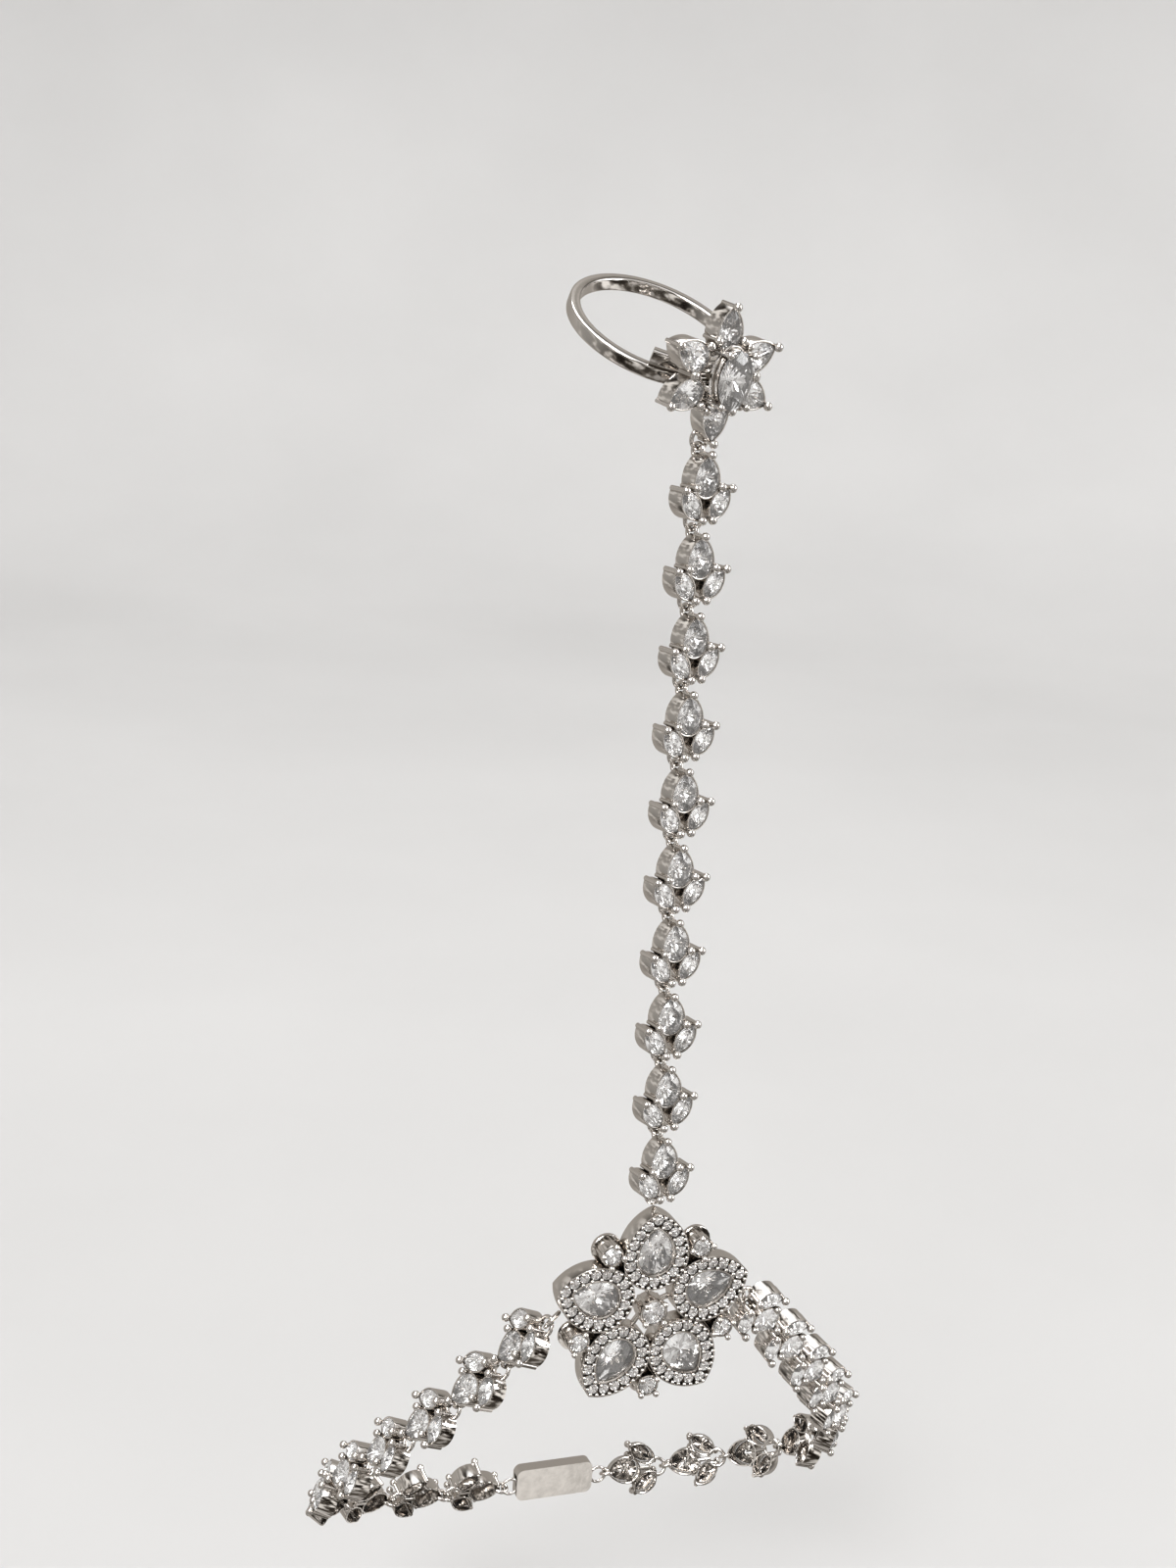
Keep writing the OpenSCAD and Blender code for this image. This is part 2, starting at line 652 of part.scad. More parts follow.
module medallion_accent_stones() {
    color(crystal) on_medallion() for (i = [0:petals - 1]) at_accent(i)
        round_stone(accent_d, accent_z, 10, 0.4, 0.9);
}
module medallion_halo_stones() {
    color(crystal) on_medallion() for (i = [0:petals - 1]) at_petal(i) for (p = halo_points)
        translate(p) round_stone(halo_stone_d, girdle_z, 8, 0.22, 0.5, 0);
}
module hand_link(i) { color(metal) multmatrix(hand_pose(i - 1)) link_setting(); }
module hand_chain_stones() {
    color(crystal) for (i = [0:hand_links - 1]) multmatrix(hand_pose(i)) link_stones();
}
module strand_link(side, i) { color(metal) multmatrix(strand_pose(side, i - 1)) link_setting(); }
module strand_stones(side) {
    color(crystal) for (i = [0:strand_links - 1]) multmatrix(strand_pose(side, i)) link_stones();
}
module clasp() {
    way = unit(clasp_to - clasp_from);
    color(metal) multmatrix(pose(clasp_from, way, [0, 1, 0])) clasp_metal();
}

function numbered(name, i) = str(name, i < 10 ? "0" : "", i);

ring_band();
ring_oval_stone();
for (i = [1:6]) ring_pear(i);
medallion_setting();
medallion_centre_stone();
for (i = [1:petals]) medallion_pear(i);
medallion_accent_stones();
medallion_halo_stones();
for (i = [1:hand_links]) hand_link(i);
hand_chain_stones();
for (i = [1:strand_links]) strand_link(-1, i);
strand_stones(-1);  // left_strand_stones
strand_jump_ring(-1);  // left_jump_ring
for (i = [1:strand_links]) strand_link(1, i);
strand_stones(1);  // right_strand_stones
strand_jump_ring(1);  // right_jump_ring
clasp();
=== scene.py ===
import json
import math
import random

import bmesh
import bpy
from mathutils import Matrix, Vector


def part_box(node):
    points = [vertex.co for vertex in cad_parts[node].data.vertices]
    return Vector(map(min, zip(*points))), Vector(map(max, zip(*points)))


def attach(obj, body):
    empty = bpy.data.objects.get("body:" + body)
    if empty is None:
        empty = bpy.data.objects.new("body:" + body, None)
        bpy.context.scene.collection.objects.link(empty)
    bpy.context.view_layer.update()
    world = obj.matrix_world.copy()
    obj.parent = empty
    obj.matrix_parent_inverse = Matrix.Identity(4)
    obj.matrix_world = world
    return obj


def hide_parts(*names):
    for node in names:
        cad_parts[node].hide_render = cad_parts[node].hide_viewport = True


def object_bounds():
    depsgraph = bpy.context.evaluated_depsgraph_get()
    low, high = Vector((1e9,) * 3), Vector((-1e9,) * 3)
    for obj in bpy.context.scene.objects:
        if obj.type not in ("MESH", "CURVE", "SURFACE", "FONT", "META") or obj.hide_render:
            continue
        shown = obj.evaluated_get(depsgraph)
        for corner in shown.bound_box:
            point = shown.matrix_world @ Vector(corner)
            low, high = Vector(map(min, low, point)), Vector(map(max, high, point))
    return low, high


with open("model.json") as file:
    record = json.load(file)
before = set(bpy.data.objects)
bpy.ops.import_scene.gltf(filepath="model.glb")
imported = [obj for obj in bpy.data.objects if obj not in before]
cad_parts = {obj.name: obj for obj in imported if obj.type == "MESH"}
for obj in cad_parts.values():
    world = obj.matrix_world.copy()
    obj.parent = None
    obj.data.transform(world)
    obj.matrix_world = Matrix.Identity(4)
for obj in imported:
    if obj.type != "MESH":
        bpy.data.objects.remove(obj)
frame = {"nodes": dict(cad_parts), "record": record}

# Hand chain bracelet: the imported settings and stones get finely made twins, with
# rounded cups, soldered prongs, faceted stones, beads and polished metal.
# Local shapes are written in millimetres, and MM takes them to the frame's metres.
MM = 0.001
CAD_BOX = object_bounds()

# Chain: a link from joint to joint, its wire as packed and as shown, and its eye and upright loop
LINK_PITCH = 8.45
WIRE_R = 0.2
WIRE_SHOWN = 0.24
EYE_R = 1.1
LOOP_R = 0.8
JUMP_R = 1.1
JOINT_PLAY = 0.15
TIP_LEAD = 0.4
LOOP_LEAD = LOOP_R - 2 * WIRE_R - JOINT_PLAY
BAR_W = 0.52
LINKS = 10
CHAINS = (("hand", "hand_chain_stones"), ("left", "left_strand_stones"), ("right", "right_strand_stones"))

# Stones of a link, and how its two marquises spread
PEAR_W = 3.0
PEAR_L = 4.0
MARQUISE_W = 1.9
MARQUISE_L = 3.4
SPLAY = 37
ROOT_GAP = 1.4

# Settings: cup wall, room round a stone, back and girdle heights, prongs and their balls
CUP_WALL = 0.2
STONE_GAP = 0.1
BACK = -0.25
GIRDLE_Z = 1.85
CUP_RISE = 0.03
PRONG_R = 0.22
POST_R = 0.29
BALL_R = 0.48
BALL_RISE = 0.45
SIDE_PRONG_ANGLE = -17
PRONG_STAND = 0.015
PRONG_REACH = CUP_WALL + STONE_GAP + PRONG_STAND
LIP = 0.05

# Places along a link: the tip of its pear's setting, the pear, and the root of the two marquises
TIP_Y = LINK_PITCH - TIP_LEAD
PEAR_Y = TIP_Y - PRONG_REACH - (PEAR_L - PEAR_W / 2)
ROOT_Y = EYE_R + WIRE_R
MARQUISE_REACH = MARQUISE_L / 2 + PRONG_REACH
MARQUISE_FOOT = BACK + 0.1

# Cut of a stone: corners round it, its shoulder and its knee as shares of its outline and its heights
CORNERS = 16
SHOULDER_SHARE = 0.8
SHOULDER_RISE = 0.6
KNEE_SHARE = 0.3
KNEE_DROP = 0.74
CULET_SHARE = 0.1
PEAR_CROWN = 0.55
PEAR_DEPTH = 0.42
MARQUISE_CROWN = 0.5
MARQUISE_DEPTH = 0.5

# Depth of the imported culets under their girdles: a pear's as a share of its width, the others in millimetres
PACKED_PEAR_DEPTH = 0.4
PACKED_HEART_DEPTH = 1.1
PACKED_OVAL_DEPTH = 1.7

# Medallion: its petals, the small stones round them, the small cups between them and the centre cup
PETALS = 5
PETAL_R = 6.55
PETAL_W = 4.0
PETAL_L = 5.4
COLLAR_OUT = 0.4
COLLAR_RISE = 0.3
GROOVE_OUT = 1.7
RIM_OUT = 1.95
RIM_IN = GROOVE_OUT + 0.06
RIM_RISE = 0.22
PLATE_IN = COLLAR_OUT - 0.15
PLATE_OUT = GROOVE_OUT + 0.12
PLATE_LOW = GIRDLE_Z - 1.6
PLATE_TOP = GIRDLE_Z - 0.42
HALO_D = 1.1
HALO_COUNT = 16
HALO_BEAD_R = 0.25
BEAD_RISE = 0.22
# Radius and foot of a bead's stalk, in radii of the bead
STALK_R = 0.7
STALK_FOOT = -2.8
# Rows of beads that hold the small stones: distance from the petal's stone, and number
BEAD_ROWS = ((COLLAR_OUT + 0.12, HALO_COUNT), (GROOVE_OUT - 0.06, 2 * HALO_COUNT))
ROW_POINTS = 96
ACCENT_R = 9.2
ACCENT_D = 1.9
ACCENT_BASE_R = 1.75
ACCENT_BASE_TOP = 0.35
HEART_D = 2.5
STRUT_W = 0.5
STRUT_T = 0.7
STRUT_IN = 0.25
STRUT_SUNK = 0.2
PETAL_STONE_Z = GIRDLE_Z - 0.25
ACCENT_Z = GIRDLE_Z + 0.35
HEART_Z = GIRDLE_Z + 0.6
# Round cups: the wall's rise over the girdle, the posts' radius and stand, and the balls' rise in their radii
ROUND_RISE = 0.02
ROUND_POST_R = 0.2
ROUND_STAND = 0.03
ROUND_BALL_RISE = 1.2

# Ring: its bore, and its open band, which passes its own loose end
BORE_R = 8.5
BAND_W = 1.5
BAND_T = 1.2
# Shape of the band's section, from 0, which is square, to 1, which is round
BAND_SQUARE = 0.28
BAND_SIDES = 28
BAND_STEPS = 150
# Distance between the band's two planes, and the angles of its two ends and of its way from plane to plane
BAND_STEP = 1.75
BAND_END = 38
BAND_TURN = 362
JOG_FROM = 52
JOG_TO = 84

# Head of the ring: six leaves round an oval, on a round base
OVAL_W = 4.2
OVAL_L = 6.2
OVAL_H = 4.0
LEAF_W = 2.8
LEAF_L = 4.0
LEAF_R = 4.1
LEAF_ANGLES = (90, 26, -26, -90, 206, 154)
HEAD_EYE_GAP = 0.2
BASE_IN = 1.6
BASE_OUT = 3.2
BASE_TOP = 0.35
# Rails of the oval's basket: inner and outer distance from its outline, and depth of its foot and its top
RAILS = ((-0.3, -0.05, 1.3, 0.4), (-0.2, 0.25, 1.35, 0.95))
CLAW_OUT = 0.42
CLAW_RISE = 0.42
CLAW_R = 0.27
CLAW_BALL_R = 0.4

# Saddle between the band and the head: half its length, how far it stays inside the band, and its heights
SADDLE_HALF = 2.4
SADDLE_IN = 0.1
SADDLE_LOW = 0.3
SADDLE_RISE = 0.95
SADDLE_TILT = 20

# Clasp: the shortest edge that is rounded, and how far
CLASP_EDGE = 1.2
CLASP_ROUND = 0.35


# Fine steps in a half of an outline, before its points are spaced evenly
HALF_STEPS = 60

# A matrix that leaves a shape where it is
IN_PLACE = Matrix.Identity(4)


# Outlines, as closed lists of points round a middle at the origin
def pear_line(width, length, grow, count):
    """A pear with its round part at the origin and its tip along +y, from the tip round, evenly spaced."""
    r, h = width / 2, length - width / 2
    side = (r * r + h * h) / (2 * r)
    tip = math.sqrt((side + grow) ** 2 - (side - r) ** 2)
    sweep = math.asin(tip / (side + grow))
    half = []
    for i in range(HALF_STEPS + 1):
        a = sweep * (1 - i / HALF_STEPS)
        half.append((r - side + (side + grow) * math.cos(a), (side + grow) * math.sin(a)))
    for i in range(1, HALF_STEPS + 1):
        a = -math.pi / 2 * i / HALF_STEPS
        half.append(((r + grow) * math.cos(a), (r + grow) * math.sin(a)))
    return mirrored(half, count)


def marquise_line(width, length, grow, count):
    """A marquise with its two tips on the y axis."""
    side = (length ** 2 + width ** 2) / (4 * width)
    shift = side - width / 2
    top = math.acos(shift / (side + grow))
    half = [(-shift + (side + grow) * math.cos(a), (side + grow) * math.sin(a))
            for a in (top * (1 - i / HALF_STEPS) for i in range(2 * HALF_STEPS + 1))]
    return mirrored(half, count)


def oval_line(width, length, grow, count):
    """An oval with its long way on the y axis."""
    half = [((width / 2 + grow) * math.sin(a), (length / 2 + grow) * math.cos(a))
            for a in (math.pi * i / (2 * HALF_STEPS) for i in range(2 * HALF_STEPS + 1))]
    return mirrored(half, count)


def round_line(radius, count):
    """A circle, from its top round."""
    turns = [2 * math.pi * i / count for i in range(count)]
    return [(radius * math.sin(a), radius * math.cos(a)) for a in turns]


def mirrored(half, count):
    """Evenly spaced points round an outline whose right half runs from its top down to its bottom."""
    right = evenly(half, count // 2 + 1)
    return right + [(-x, y) for x, y in reversed(right[1:-1])]


def evenly(points, count):
    """Points at even steps along a line of points."""
    lengths = [0.0]
    for a, b in zip(points, points[1:]):
        lengths.append(lengths[-1] + math.dist(a, b))
    out = []
    k = 0
    for i in range(count):
        want = lengths[-1] * i / (count - 1)
        while k < len(points) - 2 and lengths[k + 1] < want:
            k += 1
        share = (want - lengths[k]) / (lengths[k + 1] - lengths[k])
        out.append(tuple(a + (b - a) * share for a, b in zip(points[k], points[k + 1])))
    return out


# Shapes, added to an open mesh through a matrix
def loft(bm, rings, at, closed=False):
    """Joins rings of equal length into a smooth skin; a closed one also joins its last ring to its first."""
    rows = [[bm.verts.new(at @ Vector(p)) for p in ring] for ring in rings]
    count = len(rows[0])
    pairs = list(zip(rows, rows[1:])) + ([(rows[-1], rows[0])] if closed else [])
    for low, high in pairs:
        for i in range(count):
            j = (i + 1) % count
            bm.faces.new((low[i], low[j], high[j], high[i])).smooth = True
    return rows


def cap(bm, row, up):
    """Closes the end of a loft with one face."""
    face = bm.faces.new(row if up else list(reversed(row)))
    face.smooth = True


def wall(bm, line, inner, outer, z0, z1, at, lip=LIP):
    """A wall between two distances from a stone's outline, with rounded edges."""
    lip = min(lip, (outer - inner) / 2.2)
    rings = []
    for grow, z in ((outer, z0 + lip), (outer, z1 - lip), (outer - 0.3 * lip, z1 - 0.3 * lip),
                    (outer - lip, z1), (inner + lip, z1), (inner + 0.3 * lip, z1 - 0.3 * lip),
                    (inner, z1 - lip), (inner, z0 + lip), (inner + lip, z0), (outer - lip, z0)):
        rings.append([(x, y, z) for x, y in line(grow)])
    loft(bm, rings, at, closed=True)


def tube_ring(bm, radius, at, wire=WIRE_SHOWN, around=36, sides=14):
    """A ring of round wire in the local xy plane."""
    section = [(radius + wire * math.cos(b), wire * math.sin(b))
               for b in (2 * math.pi * j / sides for j in range(sides))]
    rings = []
    for i in range(around):
        a = 2 * math.pi * i / around
        rings.append([(r * math.cos(a), r * math.sin(a), z) for r, z in section])
    loft(bm, rings, at, closed=True)


def rod(bm, profile, at, sides=14):
    """A turned solid round the local z axis from (radius, height) pairs that start and end on the axis."""
    rings = [[(r * math.cos(a), r * math.sin(a), z) for a in (2 * math.pi * k / sides for k in range(sides))]
             for r, z in profile[1:-1]]
    rows = loft(bm, rings, at)
    for row, tip in ((rows[0], profile[0]), (rows[-1], profile[-1])):
        point = bm.verts.new(at @ Vector((0, 0, tip[1])))
        for i in range(sides):
            pair = (row[(i + 1) % sides], row[i]) if row is rows[0] else (row[i], row[(i + 1) % sides])
            bm.faces.new((*pair, point)).smooth = True


def prong(bm, x, y, z0, z1, at, post=PRONG_R, ball=BALL_R):
    """A post whose melted end is a ball."""
    start = -math.acos(min(1.0, post / ball))
    profile = [(0, z0), (post * 0.8, z0), (post, z0 + 0.2 * post)]
    profile += [(ball * math.cos(a), z1 + ball * math.sin(a))
                for a in (start + (math.pi / 2 - start) * i / 8 for i in range(8))]
    profile += [(0, z1 + ball)]
    rod(bm, profile, at @ Matrix.Translation((x, y, 0)))


def rounded_bar(bm, width, height, y0, y1, z0, at):
    """A bar along y with round long edges."""
    w, h = width / 2, height / 2
    section = [(w * math.copysign(abs(math.cos(a)) ** 0.6, math.cos(a)),
                z0 + h + h * math.copysign(abs(math.sin(a)) ** 0.6, math.sin(a)))
               for a in (2 * math.pi * i / 16 for i in range(16))]
    rows = loft(bm, [[(x, y, z) for x, z in section] for y in (y1, y0)], at)
    cap(bm, rows[0], False)
    cap(bm, rows[1], True)


def new_mesh(name, fill, sharp=35):
    """A mesh object in metres from a function that fills a bmesh in millimetres."""
    bm = bmesh.new()
    fill(bm)
    bmesh.ops.recalc_face_normals(bm, faces=bm.faces)
    mesh = bpy.data.meshes.new(name)
    bm.to_mesh(mesh)
    bm.free()
    if sharp:
        mesh.set_sharp_from_angle(angle=math.radians(sharp))
    obj = bpy.data.objects.new(name, mesh)
    bpy.context.scene.collection.objects.link(obj)
    return obj


# Stones
def faceted(bm, line, middle, at, table=0.55, crown=0.5, pavilion=1.2, girdle=0.07):
    """A brilliant cut on any outline: table, stars, kites, upper halves, girdle, mains and lower halves."""
    mains = len(line) // 2

    def ring(share, z, odd):
        out = []
        for k in range(mains):
            x, y = line[2 * k + odd]
            out.append(bm.verts.new(at @ Vector((middle[0] + (x - middle[0]) * share,
                                                 middle[1] + (y - middle[1]) * share, z))))
        return out

    def rim(z):
        return [bm.verts.new(at @ Vector((x, y, z))) for x, y in line]

    top = ring(table, crown, 0)
    shoulder = ring(SHOULDER_SHARE, SHOULDER_RISE * crown, 1)
    upper = rim(girdle / 2)
    lower = rim(-girdle / 2)
    knee = ring(KNEE_SHARE, -KNEE_DROP * pavilion, 1)
    culet = bm.verts.new(at @ Vector((middle[0], middle[1], -pavilion)))
    bm.faces.new(top)
    for k in range(mains):
        n, g, h, i = (k + 1) % mains, 2 * k, 2 * k + 1, (2 * k + 2) % (2 * mains)
        bm.faces.new((top[k], top[n], shoulder[k]))
        bm.faces.new((top[k], shoulder[k], upper[g], shoulder[k - 1]))
        bm.faces.new((shoulder[k], upper[h], upper[g]))
        bm.faces.new((shoulder[k], upper[i], upper[h]))
        bm.faces.new((knee[k], lower[g], lower[h]))
        bm.faces.new((knee[k], lower[h], lower[i]))
        bm.faces.new((culet, knee[k - 1], lower[g], knee[k]))
        bm.faces.new((upper[g], upper[h], lower[h], lower[g]))
        bm.faces.new((upper[h], upper[i], lower[i], lower[h]))


def add_painted_sparkle(mesh, seed):
    """Gives each facet its own random lightness, a painted reflection that stands for the sparkle inside the
    stone, and marks the facets under the girdle, which throw the light back.
    """
    chance = random.Random(seed)
    painted_sparkle = mesh.attributes.new("painted_sparkle", "FLOAT", "FACE")
    painted_sparkle.data.foreach_set("value", [chance.random() for _ in mesh.polygons])
    under = mesh.attributes.new("under", "FLOAT", "FACE")
    under.data.foreach_set("value", [1.0 if face.normal.z < -0.2 else 0.0 for face in mesh.polygons])


def stone_object(name, fill, seed):
    """A stone or a set of stones made in its own millimetres, tables facing +z."""
    obj = new_mesh(name, fill, sharp=0)
    add_painted_sparkle(obj.data, seed)
    return obj


def pear_gem(bm, width, length, z, at, grow=0.07):
    """A pear-cut stone with its girdle at a height."""
    line = pear_line(width, length, grow, CORNERS)
    faceted(bm, line, (0, CULET_SHARE * length), at @ Matrix.Translation((0, 0, z)),
            crown=PEAR_CROWN, pavilion=PEAR_DEPTH * width)


def marquise_gem(bm, z, at, grow=0.06):
    """A marquise-cut stone with its girdle at a height."""
    line = marquise_line(MARQUISE_W, MARQUISE_L, grow, CORNERS)
    faceted(bm, line, (0, 0), at @ Matrix.Translation((0, 0, z)),
            table=0.5, crown=MARQUISE_CROWN, pavilion=MARQUISE_DEPTH * MARQUISE_W)


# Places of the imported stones, which say where each setting is and how it is turned
def packed_stones(node):
    """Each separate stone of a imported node, as (culet, table normal, number of corners)."""
    bm = bmesh.new()
    bm.from_mesh(frame["nodes"][node].data)
    bmesh.ops.remove_doubles(bm, verts=bm.verts, dist=1e-6)
    bm.verts.ensure_lookup_table()
    seen = set()
    found = []
    for first in bm.verts:
        if first.index in seen:
            continue
        seen.add(first.index)
        group, queue = [], [first]
        while queue:
            vert = queue.pop()
            group.append(vert)
            for edge in vert.link_edges:
                other = edge.other_vert(vert)
                if other.index not in seen:
                    seen.add(other.index)
                    queue.append(other)
        areas = {}
        for face in {f for v in group for f in v.link_faces}:
            key = tuple(round(c, 2) for c in face.normal)
            area, total = areas.get(key, (0.0, Vector()))
            areas[key] = (area + face.calc_area(), total + face.normal * face.calc_area())
        normal = max(areas.values(), key=lambda pair: pair[0])[1].normalized()
        culet = min(group, key=lambda v: v.co.dot(normal))
        found.append((culet.co.copy(), normal, len(group)))
    bm.free()
    return found


def setting_pose(culet, normal, way, local):
    """The matrix from a setting's millimetres to the frame, from one stone's culet and its local place."""
    z = normal.normalized()
    y = (way - z * way.dot(z)).normalized()
    x = y.cross(z)
    turn = Matrix((x, y, z)).transposed().to_4x4()
    return Matrix.Translation(culet) @ turn @ Matrix.Scale(MM, 4) @ Matrix.Translation(-Vector(local))


def link_poses(prefix, stones, count):
    """The pose of each link of a chain, from its pear and its two marquises."""
    cut = packed_stones(stones)
    most = max(c for _, _, c in cut)
    pears = [s for s in cut if s[2] == most]
    marquises = [s for s in cut if s[2] != most]
    poses = []
    for k in range(1, count + 1):
        low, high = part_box(f"{prefix}_link_{k:02d}")
        middle = (Vector(low) + Vector(high)) / 2
        culet, normal, _ = min(pears, key=lambda s: (s[0] - middle).length)
        near = sorted(marquises, key=lambda s: (s[0] - culet).length)[:2]
        way = culet - (near[0][0] + near[1][0]) / 2
        local = (0, PEAR_Y + CULET_SHARE * PEAR_L, GIRDLE_Z - PACKED_PEAR_DEPTH * PEAR_W)
        poses.append(setting_pose(culet, normal, way, local))
    return poses


def only_stone(node):
    """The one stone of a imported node."""
    return packed_stones(node)[0]


def medallion_pose():
    """Pose of the medallion: z through its centre stone, y towards its first petal."""
    culet, normal, _ = only_stone("medallion_centre_stone")
    top, _, _ = only_stone("medallion_pear_1")
    return setting_pose(culet, normal, top - culet, (0, 0, HEART_Z - PACKED_HEART_DEPTH))


def head_pose():
    """Pose of the ring's head: z through its oval, y from the lowest leaf to the highest."""
    culet, normal, _ = only_stone("ring_oval_stone")
    top, _, _ = only_stone("ring_pear_1")
    bottom, _, _ = only_stone("ring_pear_4")
    return setting_pose(culet, normal, top - bottom, (0, 0, OVAL_H - PACKED_OVAL_DEPTH))


def bore_pose(head):
    """Bore of the ring: y along the finger, z to the head, origin between the band's two planes."""
    mount = next(m for m in frame["record"]["mounts"] if m["name"] == "finger_bore")
    y = -Vector(mount["axis"]).normalized()
    at = Vector(mount["pos_m"])
    z = head.translation - at
    z = (z - y * z.dot(y)).normalized()
    turn = Matrix((y.cross(z), y, z)).transposed().to_4x4()
    return Matrix.Translation(at) @ turn @ Matrix.Scale(MM, 4)


# Geometry Nodes
def new_tree(name, sockets):
    """A geometry node tree with named inputs; returns the tree, its input node and its output node."""
    tree = bpy.data.node_groups.new(name, "GeometryNodeTree")
    tree.interface.new_socket("Geometry", in_out="INPUT", socket_type="NodeSocketGeometry")
    for label, kind, value in sockets:
        socket = tree.interface.new_socket(label, in_out="INPUT", socket_type=kind)
        if value is not None:
            socket.default_value = value
    tree.interface.new_socket("Geometry", in_out="OUTPUT", socket_type="NodeSocketGeometry")
    return tree, tree.nodes.new("NodeGroupInput"), tree.nodes.new("NodeGroupOutput")


def chain_nodes(tree, steps):
    """Links a row of (node, output name, next node, input name) steps."""
    for source, out, target, into in steps:
        tree.links.new(source.outputs[out], target.inputs[into])


def grown(name, base, tree, values):
    """The plain mesh that a tree makes on an object, with the object and its modifier removed."""
    modifier = base.modifiers.new("grow", "NODES")
    modifier.node_group = tree
    for item in tree.interface.items_tree:
        if item.in_out == "INPUT" and item.name in values:
            modifier[item.identifier] = values[item.name]
    graph = bpy.context.evaluated_depsgraph_get()
    mesh = bpy.data.meshes.new_from_object(base.evaluated_get(graph))
    mesh.name = name
    bpy.data.objects.remove(base)
    obj = bpy.data.objects.new(name, mesh)
    bpy.context.scene.collection.objects.link(obj)
    return obj


def repeat_tree():
    """Sets a copy of one part on every point, turned and scaled as the point says."""
    tree, given, out = new_tree("Repeated part", (
        ("Part", "NodeSocketObject", None), ("Scale", "NodeSocketFloat", 1.0),
        ("Finish", "NodeSocketMaterial", None)))
    info = tree.nodes.new("GeometryNodeObjectInfo")
    turn = tree.nodes.new("GeometryNodeInputNamedAttribute")
    turn.data_type = "QUATERNION"
    turn.inputs["Name"].default_value = "turn"
    copies = tree.nodes.new("GeometryNodeInstanceOnPoints")
    real = tree.nodes.new("GeometryNodeRealizeInstances")
    finish = tree.nodes.new("GeometryNodeSetMaterial")
    chain_nodes(tree, (
        (given, "Part", info, "Object"), (given, "Geometry", copies, "Points"),
        (info, "Geometry", copies, "Instance"), (turn, "Attribute", copies, "Rotation"),
        (given, "Scale", copies, "Scale"), (copies, "Instances", real, "Geometry"),
        (real, "Geometry", finish, "Geometry"), (given, "Finish", finish, "Material"),
        (finish, "Geometry", out, "Geometry")))
    return tree


def beaded_tree():
    """Sets a copy of one part at even steps round a closed line."""
    tree, given, out = new_tree("Parts round a line", (
        ("Part", "NodeSocketObject", None), ("Count", "NodeSocketInt", HALO_COUNT),
        ("Scale", "NodeSocketFloat", 1.0), ("Finish", "NodeSocketMaterial", None)))
    curve = tree.nodes.new("GeometryNodeMeshToCurve")
    spaced = tree.nodes.new("GeometryNodeResampleCurve")
    spaced.mode = "COUNT"
    info = tree.nodes.new("GeometryNodeObjectInfo")
    copies = tree.nodes.new("GeometryNodeInstanceOnPoints")
    real = tree.nodes.new("GeometryNodeRealizeInstances")
    finish = tree.nodes.new("GeometryNodeSetMaterial")
    chain_nodes(tree, (
        (given, "Geometry", curve, "Mesh"), (curve, "Curve", spaced, "Curve"),
        (given, "Count", spaced, "Count"), (given, "Part", info, "Object"),
        (spaced, "Curve", copies, "Points"),
        (info, "Geometry", copies, "Instance"), (given, "Scale", copies, "Scale"),
        (copies, "Instances", real, "Geometry"), (real, "Geometry", finish, "Geometry"),
        (given, "Finish", finish, "Material"), (finish, "Geometry", out, "Geometry")))
    return tree


REPEATED = repeat_tree()
BEADED = beaded_tree()


def repeated(name, part, poses, finish, scale=1.0):
    """Copies of one part, made in metres, at each pose."""
    mesh = bpy.data.meshes.new(name + "_points")
    mesh.from_pydata([tuple(p.translation) for p in poses], [], [])
    turn = mesh.attributes.new("turn", "QUATERNION", "POINT")
    for item, pose in zip(turn.data, poses):
        item.value = pose.to_quaternion()
    base = bpy.data.objects.new(name + "_points", mesh)
    bpy.context.scene.collection.objects.link(base)
    return grown(name, base, REPEATED, {"Part": part, "Scale": scale, "Finish": finish})


def round_line_of(name, points, part, count, finish, scale=1.0):
    """Copies of one part at even steps round a closed line of points in the part's own millimetres."""
    mesh = bpy.data.meshes.new(name + "_line")
    mesh.from_pydata(points, [(i, (i + 1) % len(points)) for i in range(len(points))], [])
    base = bpy.data.objects.new(name + "_line", mesh)
    bpy.context.scene.collection.objects.link(base)
    return grown(name, base, BEADED, {"Part": part, "Count": count, "Scale": scale, "Finish": finish})


# Materials
def new_material(name):
    """A material with its node tree and its shader."""
    mat = bpy.data.materials.new(name)
    mat.use_nodes = True
    return mat, mat.node_tree, mat.node_tree.nodes["Principled BSDF"]


def add_node(tree, kind, **inputs):
    """A node with some of its inputs set by name."""
    node = tree.nodes.new(kind)
    for key, value in inputs.items():
        node.inputs[key.replace("_", " ")].default_value = value
    return node


def ramp(tree, source, stops):
    """Colours from a value, by (place, colour) stops."""
    node = tree.nodes.new("ShaderNodeValToRGB")
    node.color_ramp.elements[0].position, node.color_ramp.elements[0].color = stops[0]
    node.color_ramp.elements[1].position, node.color_ramp.elements[1].color = stops[-1]
    for place, colour in stops[1:-1]:
        node.color_ramp.elements.new(place).color = colour
    tree.links.new(source, node.inputs["Fac"])
    return node


def grey(v, warm=0.0):
    """A grey that may lean to the warm side."""
    return (v + warm, v, v - warm, 1)


